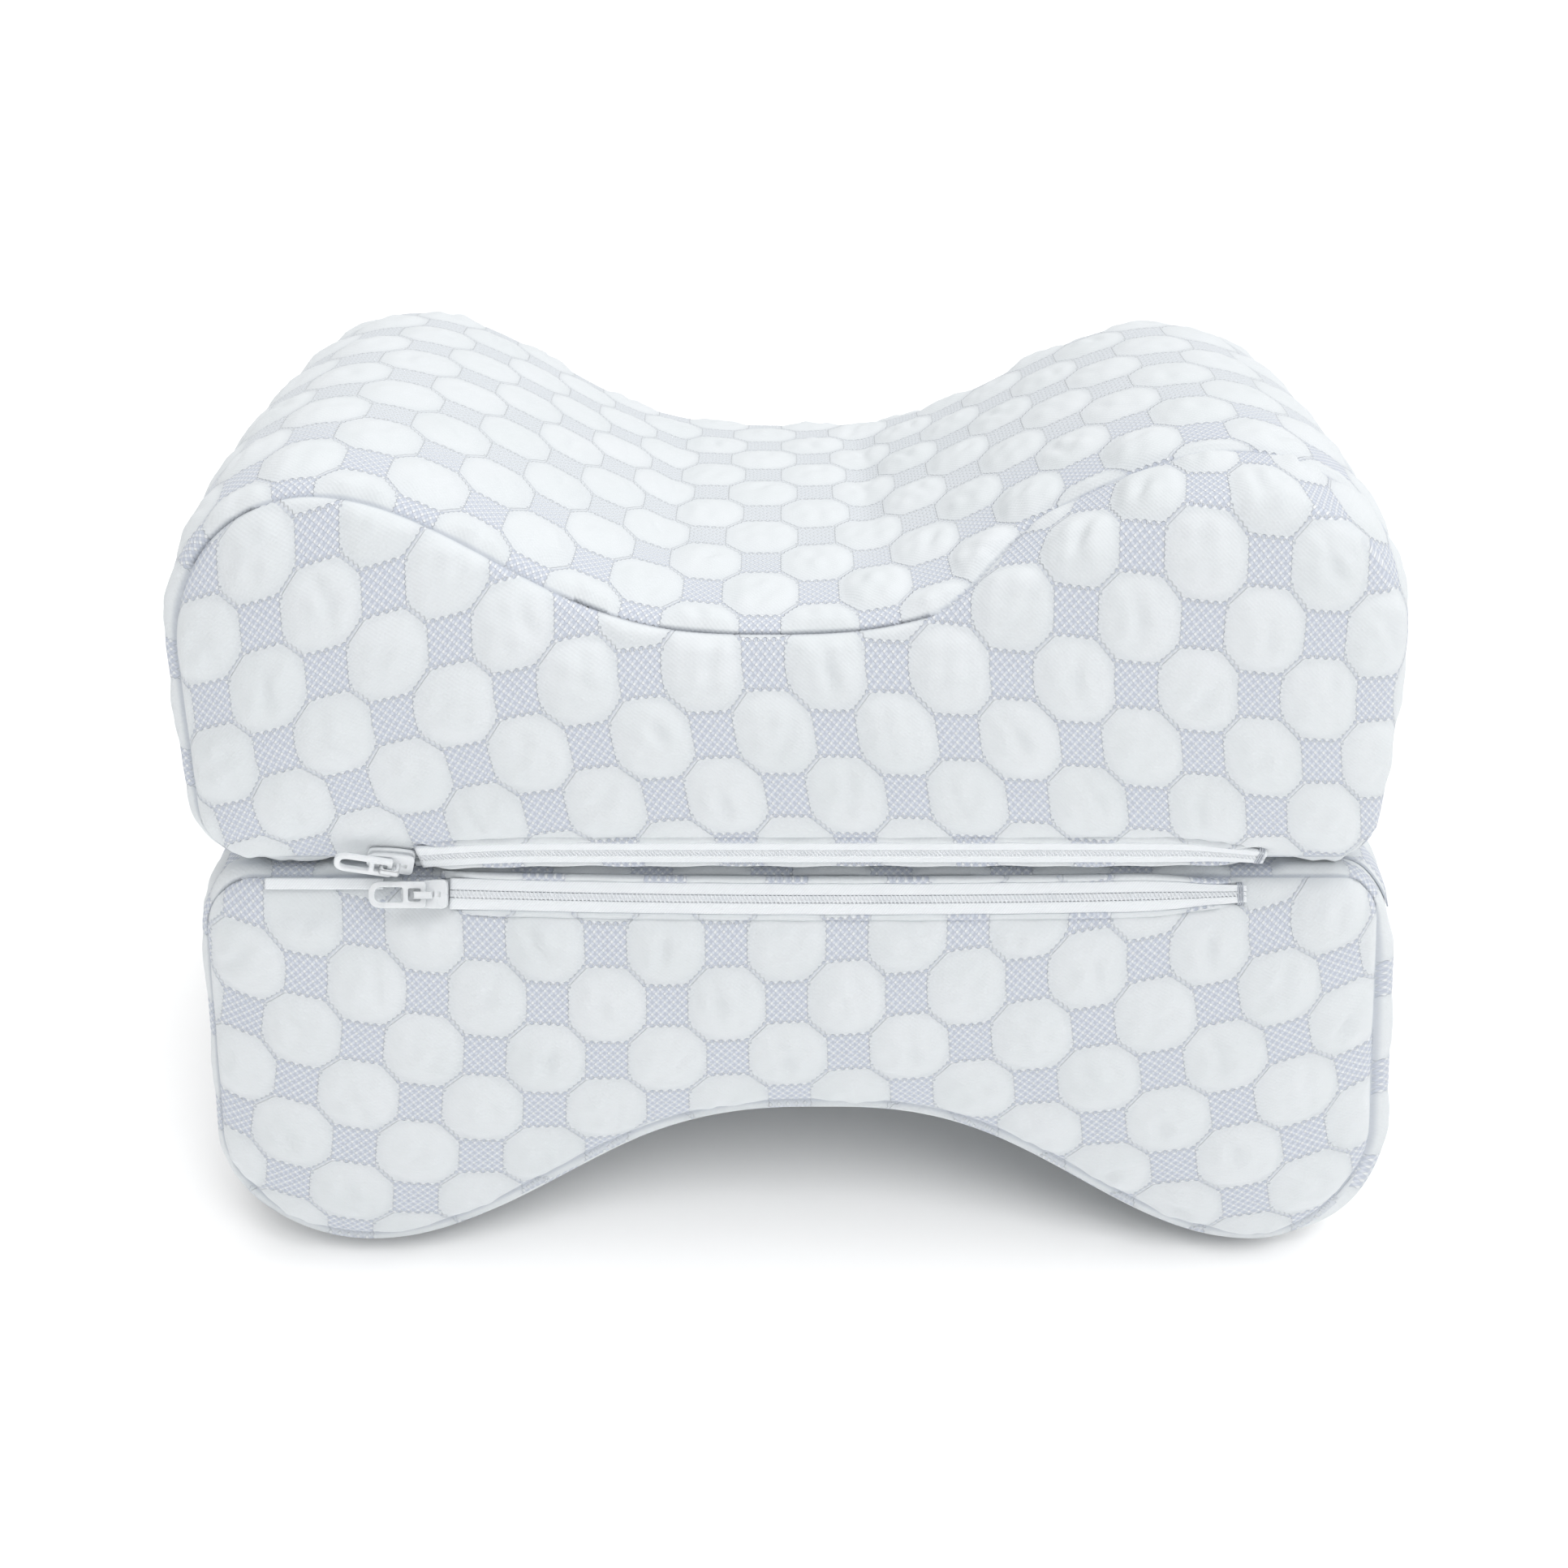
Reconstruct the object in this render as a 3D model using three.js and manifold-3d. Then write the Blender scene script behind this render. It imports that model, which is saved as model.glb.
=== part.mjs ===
// A folding knee pillow, as it stands stacked on its two feet. Millimetres, X to the right along
// the long zips, Y from the front to the back, Z up, with the origin under the middle at the feet.
// The sizes below are taken from the middle of the front, and the whole is moved over at the end.
//
// Two foam sections, each in its own quilted knit cover, are stacked: the upper one has a saddle
// between two horns for one leg, and the lower one has an arch between two feet for the other.
// A fold of the side band joins them along the right side. Each cover has a front and a back
// panel, a band around it, and a zip across the front beside the split.
import * as THREE from "three";
import Module from "manifold-3d";

const wasm = await Module();
wasm.setup();

// Driving dimensions.
const SEAM_Y = 68; // half the distance between the front and the back seam
const SPLIT_LOW = 96.0; // top of the lower section
const SPLIT_HIGH = 96.35; // underside of the upper section, a little above it
const PANEL_CROWN = 6.5; // how far a panel swells past its seam
const PANEL_ROLL = 30; // how far in from the seam a panel is level
const ROLL_POWER = 2.5;
const SIDE_CROWN = 4; // how far the band swells at the sides
const PUFF = 2.0; // height of one quilted puff
const CLEAR = 0.35; // between neighbouring pieces
const MIDDLE_X = 2.3; // the lower section reaches this much further to the right than to the left

// The quilting: puffs and flat mesh squares take turns, as on a chessboard.
const PUFF_EDGE = 0.66; // half a puff's width, in steps of the lattice
const BAND_STEP_Y = 12.36;

// Grid of one cushion: about half a lattice step.
const ACROSS = 38;
const UP = 12;
const THROUGH = 22;
const FINE = 60; // points on each piece of an outline before it is spaced out evenly

// The upper section's seam, seen from the front.
const UPPER = {
  name: "upper_cushion",
  floor: SPLIT_HIGH,
  ceiling: Infinity,
  crownUp: 6,
  crownDown: 1.6,
  outline: upperOutline,
  step: { x: 11.4, z: 12.6 },
  puff: { x: 7.5, z: 140.4 },
  bow: { centre: 0, left: 0.0018, right: 0.0006 },
  shear: 2.2, // sideways drift of each row under the first
  bandStart: 6.8,
};
const HORN = { left: -85, right: 84, top: 172.6 };
const SADDLE = { x: -3, z: 146, power: 1.5 };
const UPPER_SIDE = { left: -113.5, right: 114.5, shoulder: 140 };
const UPPER_BASE = { z: 98, left: [10, 12], right: [7, 8] };

// The lower section's seam.
const LOWER = {
  name: "lower_cushion",
  floor: 0,
  ceiling: SPLIT_LOW,
  crownUp: 1.2,
  crownDown: 8,
  outline: lowerOutline,
  step: { x: 11.8, z: 13 },
  puff: { x: -10.1, z: 70.8 },
  bow: { centre: -35, left: -0.0013, right: -0.0008 },
  shear: 0,
  bandStart: 8,
};
const FOOT = { left: -88, right: 100, seam: 6.5, ankle: 34 };
const ARCH = { x: 8, z: 40.4, power: 1.4 };
const LOWER_SIDE = { left: -117.5, right: 122.5, topLeft: -115, topRight: 118 };
const LOWER_TOP = { z: 95.2, left: [12, 14], right: [9, 12] };

// The zips, along the front. dip is how far the ends fall and sag how far the middle does, turn is
// the slider's own tilt, and flatFrom is where the cover beside the zip starts to lie flat.
const ZIPS = [
  { name: "upper", z: 101.8, from: -70.5, to: 93, dip: 1.6, sag: 0, section: UPPER, turn: -14, flatFrom: -90 },
  { name: "lower", z: 91.8, from: -65, to: 90, dip: 0, sag: 1.0, section: LOWER, turn: 0, flatFrom: -108 },
];
const TAPE = { width: 2.0, thick: 0.9 };
const CHAIN = { width: 1.5, thick: 1.2 };
const ZIP_STEPS = 30;
const ZIP_GAP = 0.3;
const PUFF_FREE = 7.5; // the quilting lies flat this near to a zip

const SLIDER = { length: 9, width: 5.6, nose: 3.4, thick: 2.2 };
const LUG = { length: 4.4, height: 2.5, wide: 1.4, hole: [2.4, 1.7], sunk: 0.5 };
const PULL = { tip: -10.6, end: 0.5, wide: 5.2, thick: 1.0, bar: 1.0, eye: 2.4, eyeWide: 2.4, slot: [-8.9, -4.2], slotWide: 2.5 };

// The fold of cloth that joins the sections along the right side, from the upper to the lower one.
const FOLD = {
  thick: 1.3,
  halfDepth: 62,
  route: [
    [115.0, 107.5],
    [115.0, 104],
    [114.0, 101],
    [113.3, 98.3],
    [113.0, 96.1],
    [114.0, 93.9],
    [116.3, 91.2],
    [118.0, 88.2],
    [118.8, 84.5],
  ],
  steps: 16,
  through: 14,
};

// The strip of tape that faces the lower section's edge left of its slider.
const FACING = { from: -101, to: -78, z: 93.5, width: 2.2, thick: 0.9, steps: 10 };

const COLOURS = {
  cover: 0xe6eaee,
  tape: 0xeff3f6,
  chain: 0xe2e7ec,
  metal: 0xd3d8dc,
};

const sin2 = (t) => Math.sin((Math.PI / 2) * Math.min(1, Math.abs(t))) ** 2;

function arc([cx, cz], [rx, rz], from, to) {
  return (t) => {
    const a = THREE.MathUtils.degToRad(from + (to - from) * t);
    return [cx + rx * Math.cos(a), cz + rz * Math.sin(a)];
  };
}

function line([x0, z0], [x1, z1]) {
  return (t) => [x0 + (x1 - x0) * t, z0 + (z1 - z0) * t];
}

// A valley or an arch: level in the middle, and again at each end.
function dipped(from, to, middle, endZ) {
  return (t) => {
    const x = from + (to - from) * t;
    const end = (x - middle.x) * (from - middle.x) > 0 ? from : to;
    const share = sin2((x - middle.x) / (end - middle.x)) ** middle.power;
    return [x, middle.z + (endZ - middle.z) * share];
  };
}

// Each outline is its pieces in turn, anticlockwise from the middle of the bottom left corner.
// Its four groups are the bottom, the right side, the top and the left side of a panel's grid.
function upperOutline() {
  const { left, right, shoulder } = UPPER_SIDE;
  const { z, left: bl, right: br } = UPPER_BASE;
  const leftShoulder = [[HORN.left, shoulder], [HORN.left - left, HORN.top - shoulder]];
  const rightShoulder = [[HORN.right, shoulder], [right - HORN.right, HORN.top - shoulder]];
  return [
    [arc([left + bl[0], z + bl[1]], bl, 225, 270), line([left + bl[0], z], [right - br[0], z]),
      arc([right - br[0], z + br[1]], br, 270, 315)],
    [arc([right - br[0], z + br[1]], br, 315, 360), line([right, z + br[1]], [right, shoulder]),
      arc(...rightShoulder, 0, 45)],
    [arc(...rightShoulder, 45, 90), dipped(HORN.right, HORN.left, SADDLE, HORN.top),
      arc(...leftShoulder, 90, 135)],
    [arc(...leftShoulder, 135, 180), line([left, shoulder], [left, z + bl[1]]),
      arc([left + bl[0], z + bl[1]], bl, 180, 225)],
  ];
}

function lowerOutline() {
  const { left, right, topLeft, topRight } = LOWER_SIDE;
  const { z, left: tl, right: tr } = LOWER_TOP;
  const leftFoot = [[FOOT.left, FOOT.ankle], [FOOT.left - left, FOOT.ankle - FOOT.seam]];
  const rightFoot = [[FOOT.right, FOOT.ankle], [right - FOOT.right, FOOT.ankle - FOOT.seam]];
  return [
    [arc(...leftFoot, 225, 270), dipped(FOOT.left, FOOT.right, ARCH, FOOT.seam), arc(...rightFoot, 270, 315)],
    [arc(...rightFoot, 315, 360), line([right, FOOT.ankle], [topRight, z - tr[1]]),
      arc([topRight - tr[0], z - tr[1]], tr, 0, 45)],
    [arc([topRight - tr[0], z - tr[1]], tr, 45, 90), line([topRight - tr[0], z], [topLeft + tl[0], z]),
      arc([topLeft + tl[0], z - tl[1]], tl, 90, 135)],
    [arc([topLeft + tl[0], z - tl[1]], tl, 135, 180), line([topLeft, z - tl[1]], [left, FOOT.ankle]),
      arc(...leftFoot, 180, 225)],
  ];
}

// The same number of even steps along one side of the outline.
function evenly(pieces, count) {
  const points = pieces.flatMap((piece) => Array.from({ length: FINE }, (_, i) => piece(i / FINE)));
  points.push(pieces.at(-1)(1));
  const run = [0];
  for (let i = 1; i < points.length; i++) {
    run.push(run[i - 1] + Math.hypot(points[i][0] - points[i - 1][0], points[i][1] - points[i - 1][1]));
  }
  return Array.from({ length: count + 1 }, (_, k) => {
    const at = (run.at(-1) * k) / count;
    let i = run.findIndex((r) => r >= at - 1e-9);
    i = Math.max(1, i);
    const t = (at - run[i - 1]) / (run[i] - run[i - 1]);
    return points[i].map((v, axis) => points[i - 1][axis] + (v - points[i - 1][axis]) * t);
  });
}

// The height of the quilting, from 0 in a mesh square or a stitched groove to 1 on a puff.
// Puffs are octagons round every lattice point whose row and column add up to an even number.
function puffAt(column, row) {
  let best = 0;
  for (const i of [Math.floor(column), Math.floor(column) + 1]) {
    for (const j of [Math.floor(row), Math.floor(row) + 1]) {
      if ((i + j) % 2 !== 0) continue;
      const [p, q] = [Math.abs(column - i), Math.abs(row - j)];
      const d = Math.hypot(Math.max(p, q) / PUFF_EDGE, p + q) / Math.SQRT2;
      best = Math.max(best, 1 - Math.min(1, d) ** 2.5);
    }
  }
  return best;
}

function panelPuff(section, x, z) {
  const { step, puff, bow, shear } = section;
  const side = x - bow.centre;
  const row = (puff.z - z - (side < 0 ? bow.left : bow.right) * side * side) / step.z;
  const column = (x - puff.x - shear * Math.max(0, row)) / step.x;
  return puffAt(column, row);
}

function zipHeight(zip, x) {
  const along = (x - zip.from) / (zip.to - zip.from);
  const fall = Math.max(0, 1 - along / 0.16) ** 2 + Math.max(0, (along - 0.88) / 0.12) ** 2;
  return zip.z - zip.dip * fall - zip.sag * (1 - (2 * along - 1) ** 2);
}

function distanceToOutline(loop, x, z) {
  let best = Infinity;
  loop.forEach(([x0, z0], i) => {
    const [x1, z1] = loop[(i + 1) % loop.length];
    const [dx, dz] = [x1 - x0, z1 - z0];
    const t = THREE.MathUtils.clamp(((x - x0) * dx + (z - z0) * dz) / (dx * dx + dz * dz), 0, 1);
    best = Math.min(best, Math.hypot(x0 + t * dx - x, z0 + t * dz - z));
  });
  return best;
}

// How far the panel stands in front of its seam at a place on it.
function panelSwell(loop, x, z) {
  const inward = Math.min(1, distanceToOutline(loop, x, z) / PANEL_ROLL);
  return PANEL_CROWN * (1 - (1 - inward) ** ROLL_POWER);
}

function bandProfile(y) {
  const t = Math.abs(y / SEAM_Y);
  return 0.55 * (1 - t ** 2) + 0.45 * (1 - t ** 8);
}

function bandCrown(section, normalZ) {
  const toward = normalZ > 0 ? section.crownUp : section.crownDown;
  return SIDE_CROWN + (toward - SIDE_CROWN) * Math.abs(normalZ);
}

const settle = (section, z) => THREE.MathUtils.clamp(z, section.floor, section.ceiling);

// The seam as a closed loop of even steps, with the outward direction and the run at each one.
function seamLoop(section) {
  const counts = [ACROSS, UP, ACROSS, UP];
  const loop = section.outline().flatMap((side, i) => evenly(side, counts[i]).slice(0, -1));
  const around = loop.length;
  const run = [0];
  const normals = loop.map((_, k) => {
    const [a, b] = [loop[(k + around - 1) % around], loop[(k + 1) % around]];
    const [dx, dz] = [b[0] - a[0], b[1] - a[1]];
    return [dz / Math.hypot(dx, dz), -dx / Math.hypot(dx, dz)];
  });
  for (let k = 1; k < around; k++) {
    run.push(run[k - 1] + Math.hypot(loop[k][0] - loop[k - 1][0], loop[k][1] - loop[k - 1][1]));
  }
  return { loop, normals, run };
}

// The run along the seam where it passes a given x on the side away from the split.
function runAt(section, seam, x) {
  const outer = section === UPPER ? 1 : -1;
  let best = 0;
  seam.loop.forEach((p, k) => {
    const better = Math.abs(p[0] - x) < Math.abs(seam.loop[best][0] - x);
    const facesOut = seam.normals[k][1] * outer > 0.5;
    if (facesOut && (better || seam.normals[best][1] * outer <= 0.5)) best = k;
  });
  return seam.run[best];
}

const nearZip = (x, z) =>
  ZIPS.some((zip) => x > zip.flatFrom && x < zip.to + 6 && Math.abs(z - zipHeight(zip, x)) < PUFF_FREE);

function cushion(section) {
  const seam = seamLoop(section);
  const { loop, normals } = seam;
  const around = loop.length;
  const start = runAt(section, seam, section.bandStart);
  const positions = [];
  const heights = [];
  const index = [];
  const add = (x, y, z, raised) => {
    heights.push(raised);
    return positions.push(x, y, settle(section, z)) / 3 - 1;
  };
  // Two triangles, parted along the lower diagonal, so that the groove between two puffs shows.
  const quad = (a, b, c, d) => {
    const low = heights[a] + heights[c] < heights[b] + heights[d];
    index.push(...(low ? [a, b, c, a, c, d] : [a, b, d, b, c, d]));
  };

  // The band, front seam to back seam.
  const rings = Array.from({ length: THROUGH + 1 }, (_, m) => {
    const y = -SEAM_Y + (2 * SEAM_Y * m) / THROUGH;
    return loop.map(([x, z], k) => {
      const [nx, nz] = normals[k];
      const atFold = nx > 0.3 && Math.abs(z - SPLIT_LOW) < 22;
      const sewn = m === 0 || m === THROUGH || atFold;
      const row = (y + SEAM_Y) / BAND_STEP_Y;
      const raised = sewn ? 0 : PUFF * puffAt((seam.run[k] - start) / section.step.x, row);
      const out = bandCrown(section, nz) * bandProfile(y) + raised;
      return add(x + nx * out, y, z + nz * out, raised);
    });
  });
  for (let m = 0; m < THROUGH; m++) {
    for (let k = 0; k < around; k++) {
      const next = (k + 1) % around;
      quad(rings[m][k], rings[m + 1][k], rings[m + 1][next], rings[m][next]);
    }
  }

  // A panel is spanned between the four sides of its seam.
  const ringPlace = (i, j) => {
    if (j === 0) return i;
    if (i === ACROSS) return ACROSS + j;
    if (j === UP) return ACROSS + UP + (ACROSS - i);
    return (2 * ACROSS + UP + (UP - j)) % around;
  };
  const side = (i, j) => loop[ringPlace(i, j)];
  for (const [out, ring] of [[-1, rings[0]], [1, rings[THROUGH]]]) {
    const grid = Array.from({ length: ACROSS + 1 }, (_, i) =>
      Array.from({ length: UP + 1 }, (_, j) => {
        if (i === 0 || j === 0 || i === ACROSS || j === UP) return ring[ringPlace(i, j)];
        const [u, v] = [i / ACROSS, j / UP];
        const [x, z] = [0, 1].map((axis) => {
          const ruled = (1 - v) * side(i, 0)[axis] + v * side(i, UP)[axis]
            + (1 - u) * side(0, j)[axis] + u * side(ACROSS, j)[axis];
          const corners = (1 - u) * (1 - v) * side(0, 0)[axis] + u * (1 - v) * side(ACROSS, 0)[axis]
            + (1 - u) * v * side(0, UP)[axis] + u * v * side(ACROSS, UP)[axis];
          return ruled - corners;
        });
        const raised = out < 0 && nearZip(x, z) ? 0 : PUFF * panelPuff(section, x, z);
        return add(x, out * (SEAM_Y + panelSwell(loop, x, z) + raised), z, raised);
      }),
    );
    for (let i = 0; i < ACROSS; i++) {
      for (let j = 0; j < UP; j++) {
        const [a, b, c, d] = [grid[i][j], grid[i + 1][j], grid[i + 1][j + 1], grid[i][j + 1]];
        if (out < 0) quad(a, b, c, d);
        else quad(a, d, c, b);
      }
    }
  }
  return geometryOf(positions, index);
}

function geometryOf(positions, index) {
  const geometry = new THREE.BufferGeometry();
  geometry.setAttribute("position", new THREE.Float32BufferAttribute(positions, 3));
  geometry.setIndex(index);
  geometry.computeVertexNormals();
  return geometry;
}

// A closed bar: the same ring of points at each step, and a flat cap on both ends.
function loft(rings) {
  const size = rings[0].length;
  const positions = rings.flat(2);
  const index = [];
  for (let s = 0; s < rings.length - 1; s++) {
    for (let k = 0; k < size; k++) {
      const [a, b] = [s * size + k, s * size + ((k + 1) % size)];
      index.push(a, b, a + size, b, b + size, a + size);
    }
  }
  const last = (rings.length - 1) * size;
  for (let k = 1; k < size - 1; k++) {
    index.push(0, k + 1, k, last, last + k, last + k + 1);
  }
  return geometryOf(positions, index);
}

// Place and directions on a front panel: along the zip, up the panel, and out of it.
function onPanel(loop, x, z, slope = 0) {
  const small = 0.5;
  const swell = (px, pz) => panelSwell(loop, px, pz);
  const place = new THREE.Vector3(x, -SEAM_Y - swell(x, z), z);
  const slant = new THREE.Vector3(1, -(swell(x + small, z) - swell(x - small, z)) / (2 * small), 0);
  const rise = new THREE.Vector3(0, -(swell(x, z + small) - swell(x, z - small)) / (2 * small), 1);
  const out = new THREE.Vector3().crossVectors(slant, rise).normalize();
  const along = slant.clone().addScaledVector(rise, slope).normalize();
  return { place, along, up: new THREE.Vector3().crossVectors(out, along), out };
}

// A strip that lies on the panel along a line, with the middle of its face a little rounded.
function strip(section, height, from, to, offset, { width, thick }, steps) {
  const { loop } = seamLoop(section);
  const sectionPoints = [[1, 0], [1, 0.6], [0.5, 1], [-0.5, 1], [-1, 0.6], [-1, 0]];
  const rings = Array.from({ length: steps + 1 }, (_, s) => {
    const x = from + ((to - from) * s) / steps;
    const slope = height(x + 0.5) - height(x - 0.5);
    const { place, up, out } = onPanel(loop, x, height(x), slope);
    return sectionPoints.map(([across, lift]) =>
      place.clone()
        .addScaledVector(up, offset + (across * width) / 2)
        .addScaledVector(out, CLEAR + lift * thick)
        .toArray(),
    );
  });
  return loft(rings);
}

function fold() {
  const places = FOLD.route.map(([x, z]) => new THREE.Vector3(x, 0, z));
  const route = new THREE.CatmullRomCurve3(places, false, "centripetal");
  const rings = Array.from({ length: FOLD.through + 1 }, (_, m) => {
    const y = -FOLD.halfDepth + (2 * FOLD.halfDepth * m) / FOLD.through;
    const swell = SIDE_CROWN * bandProfile(y);
    const inner = [];
    const outer = [];
    for (let s = 0; s <= FOLD.steps; s++) {
      const p = route.getPoint(s / FOLD.steps);
      const t = route.getTangent(s / FOLD.steps);
      inner.push([p.x + swell, y, p.z]);
      outer.unshift([p.x + swell - t.z * FOLD.thick, y, p.z + t.x * FOLD.thick]);
    }
    return [...inner, ...outer];
  });
  return ribbon(rings, FOLD.steps + 1);
}

// A bent sheet: rings of an inner and an outer row of points, closed with strips at both ends.
function ribbon(rings, half) {
  const size = rings[0].length;
  const index = [];
  for (let s = 0; s < rings.length - 1; s++) {
    for (let k = 0; k < size; k++) {
      const [a, b] = [s * size + k, s * size + ((k + 1) % size)];
      index.push(a, a + size, b, b, a + size, b + size);
    }
  }
  const last = (rings.length - 1) * size;
  for (let k = 0; k < half - 1; k++) {
    const [a, b, c, d] = [k, k + 1, size - 2 - k, size - 1 - k];
    index.push(a, b, c, a, c, d);
    index.push(last + a, last + c, last + b, last + a, last + d, last + c);
  }
  return geometryOf(rings.flat(2), index);
}

function solidOf(geometry) {
  const positions = geometry.getAttribute("position");
  const seen = new Map();
  const vertices = [];
  const place = Array.from({ length: positions.count }, (_, i) => {
    const p = [positions.getX(i), positions.getY(i), positions.getZ(i)];
    const key = p.map((v) => v.toFixed(4)).join();
    if (!seen.has(key)) seen.set(key, vertices.push(...p) / 3 - 1);
    return seen.get(key);
  });
  const triangles = geometry.index ? Array.from(geometry.index.array, (i) => place[i]) : place;
  return new wasm.Manifold(new wasm.Mesh({
    numProp: 3,
    vertProperties: new Float32Array(vertices),
    triVerts: new Uint32Array(triangles),
  }));
}

function geometryFrom(solid) {
  const mesh = solid.getMesh();
  return geometryOf(Array.from(mesh.vertProperties), Array.from(mesh.triVerts));
}

function extruded(shape, depth, curveSegments = 6) {
  return new THREE.ExtrudeGeometry(shape, { depth, bevelEnabled: false, curveSegments });
}

// The slider lies in its own plane: x along the zip, y up the panel, z out of it.
function slider() {
  const { length, width, nose, thick } = SLIDER;
  const body = new THREE.Shape();
  body.moveTo(-length / 2 + 1, -nose / 2);
  body.quadraticCurveTo(-length / 2, -nose / 2, -length / 2, 0);
  body.quadraticCurveTo(-length / 2, nose / 2, -length / 2 + 1, nose / 2);
  body.lineTo(0.5, width / 2);
  body.lineTo(length / 2 - 0.8, width / 2);
  body.quadraticCurveTo(length / 2, width / 2, length / 2, width / 2 - 0.8);
  body.lineTo(length / 2, 0.8 - width / 2);
  body.quadraticCurveTo(length / 2, -width / 2, length / 2 - 0.8, -width / 2);
  body.lineTo(0.5, -width / 2);
  body.closePath();

  const lug = new THREE.Shape();
  const [half, top] = [LUG.length / 2, LUG.height];
  lug.moveTo(-half, -LUG.sunk);
  lug.lineTo(half, -LUG.sunk);
  lug.lineTo(half, top - 0.9);
  lug.quadraticCurveTo(half, top, half - 0.9, top);
  lug.lineTo(0.9 - half, top);
  lug.quadraticCurveTo(-half, top, -half, top - 0.9);
  lug.closePath();
  const eye = new THREE.Path();
  const [holeHalf, holeTop] = [LUG.hole[0] / 2, LUG.hole[1]];
  eye.moveTo(-holeHalf, 0);
  eye.lineTo(-holeHalf, holeTop);
  eye.lineTo(holeHalf, holeTop);
  eye.lineTo(holeHalf, 0);
  eye.closePath();
  lug.holes.push(eye);
  const lugGeometry = extruded(lug, LUG.wide).translate(0, 0, -LUG.wide / 2);
  lugGeometry.rotateX(Math.PI / 2).translate(0, 0, thick);
  return geometryFrom(solidOf(extruded(body, thick)).add(solidOf(lugGeometry)));
}

// The pull: a plate with a round tip, an eye that the lug passes through, and a finger slot.
function pull() {
  const { tip, end, wide, thick, bar, eye, eyeWide, slot, slotWide } = PULL;
  const half = wide / 2;
  const plate = new THREE.Shape();
  plate.moveTo(tip + half, -half);
  plate.lineTo(end - 0.6, -half);
  plate.quadraticCurveTo(end, -half, end, 0.6 - half);
  plate.lineTo(end, half - 0.6);
  plate.quadraticCurveTo(end, half, end - 0.6, half);
  plate.lineTo(tip + half, half);
  plate.absarc(tip + half, 0, half, Math.PI / 2, (3 * Math.PI) / 2, false);
  const window = (x0, x1, w) => {
    const hole = new THREE.Path();
    hole.moveTo(x0, -w / 2);
    hole.lineTo(x0, w / 2);
    hole.lineTo(x1, w / 2);
    hole.lineTo(x1, -w / 2);
    hole.closePath();
    return hole;
  };
  plate.holes.push(window(end - bar - eye, end - bar, eyeWide));
  plate.holes.push(window(slot[0], slot[1], slotWide));
  return geometryFrom(solidOf(extruded(plate, thick)));
}

const paint = (color, roughness, metalness = 0) => new THREE.MeshStandardMaterial({ color, roughness, metalness });
const COVER = paint(COLOURS.cover, 0.9);
const TAPE_CLOTH = paint(COLOURS.tape, 0.75);
const CHAIN_NYLON = paint(COLOURS.chain, 0.5);
const METAL = paint(COLOURS.metal, 0.3, 0.9);

const pillow = new THREE.Group();
pillow.position.x = -MIDDLE_X;
const named = (name, geometry, material) => {
  const mesh = new THREE.Mesh(geometry, material);
  mesh.name = name;
  return mesh;
};

for (const section of [UPPER, LOWER]) {
  pillow.add(named(section.name, cushion(section), COVER));
}
pillow.add(named("side_fold", fold(), COVER));

for (const zip of ZIPS) {
  const height = (x) => zipHeight(zip, x);
  const tapeOffset = (CHAIN.width + TAPE.width) / 2 + ZIP_GAP;
  const pieces = [
    ["tape_top", tapeOffset, TAPE, TAPE_CLOTH],
    ["chain", 0, CHAIN, CHAIN_NYLON],
    ["tape_bottom", -tapeOffset, TAPE, TAPE_CLOTH],
  ];
  for (const [piece, offset, size, material] of pieces) {
    const geometry = strip(zip.section, height, zip.from, zip.to, offset, size, ZIP_STEPS);
    pillow.add(named(`${zip.name}_zip_${piece}`, geometry, material));
  }

  // The slider and its pull stand on the panel at the left end of the chain.
  const { loop } = seamLoop(zip.section);
  const turn = THREE.MathUtils.degToRad(zip.turn);
  const x = zip.from - ZIP_GAP - SLIDER.length / 2 - (SLIDER.width / 2) * Math.abs(Math.sin(turn));
  const { place, along, up, out } = onPanel(loop, x, height(zip.from));
  const hardware = new THREE.Group();
  hardware.setRotationFromMatrix(new THREE.Matrix4().makeBasis(along, up, out));
  hardware.position.copy(place.addScaledVector(out, CLEAR));
  const turned = new THREE.Group();
  turned.rotation.z = turn;
  const sliderMesh = named(`${zip.name}_zip_slider`, slider(), METAL);
  const pullMesh = named(`${zip.name}_zip_pull`, pull(), METAL);
  pullMesh.position.z = SLIDER.thick + CLEAR;
  turned.add(sliderMesh, pullMesh);
  hardware.add(turned);
  pillow.add(hardware);
}

const facingHeight = () => FACING.z;
pillow.add(named(
  "lower_edge_facing",
  strip(LOWER, facingHeight, FACING.from, FACING.to, 0, FACING, FACING.steps),
  TAPE_CLOTH,
));

export default pillow;
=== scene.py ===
# %% [markdown]
# # A folding knee pillow
#
# Two foam sections stand stacked on two feet: the upper one has a saddle for one leg, and the
# lower one an arch for the other. Each has its own quilted knit cover, with a front and a back
# panel, a band around it, and a zip across the front beside the split. This lesson dresses the
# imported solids: it loads them as a fixed frame, and gives each soft piece its real surface.
# Sizes are in millimetres, as on a cutting table, until a mesh is made. Only the camera and the
# lights are placed in metres.

# %% Load the frame
import math

import bmesh
import bpy
import numpy as np
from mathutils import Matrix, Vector
from mathutils.bvhtree import BVHTree


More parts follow.
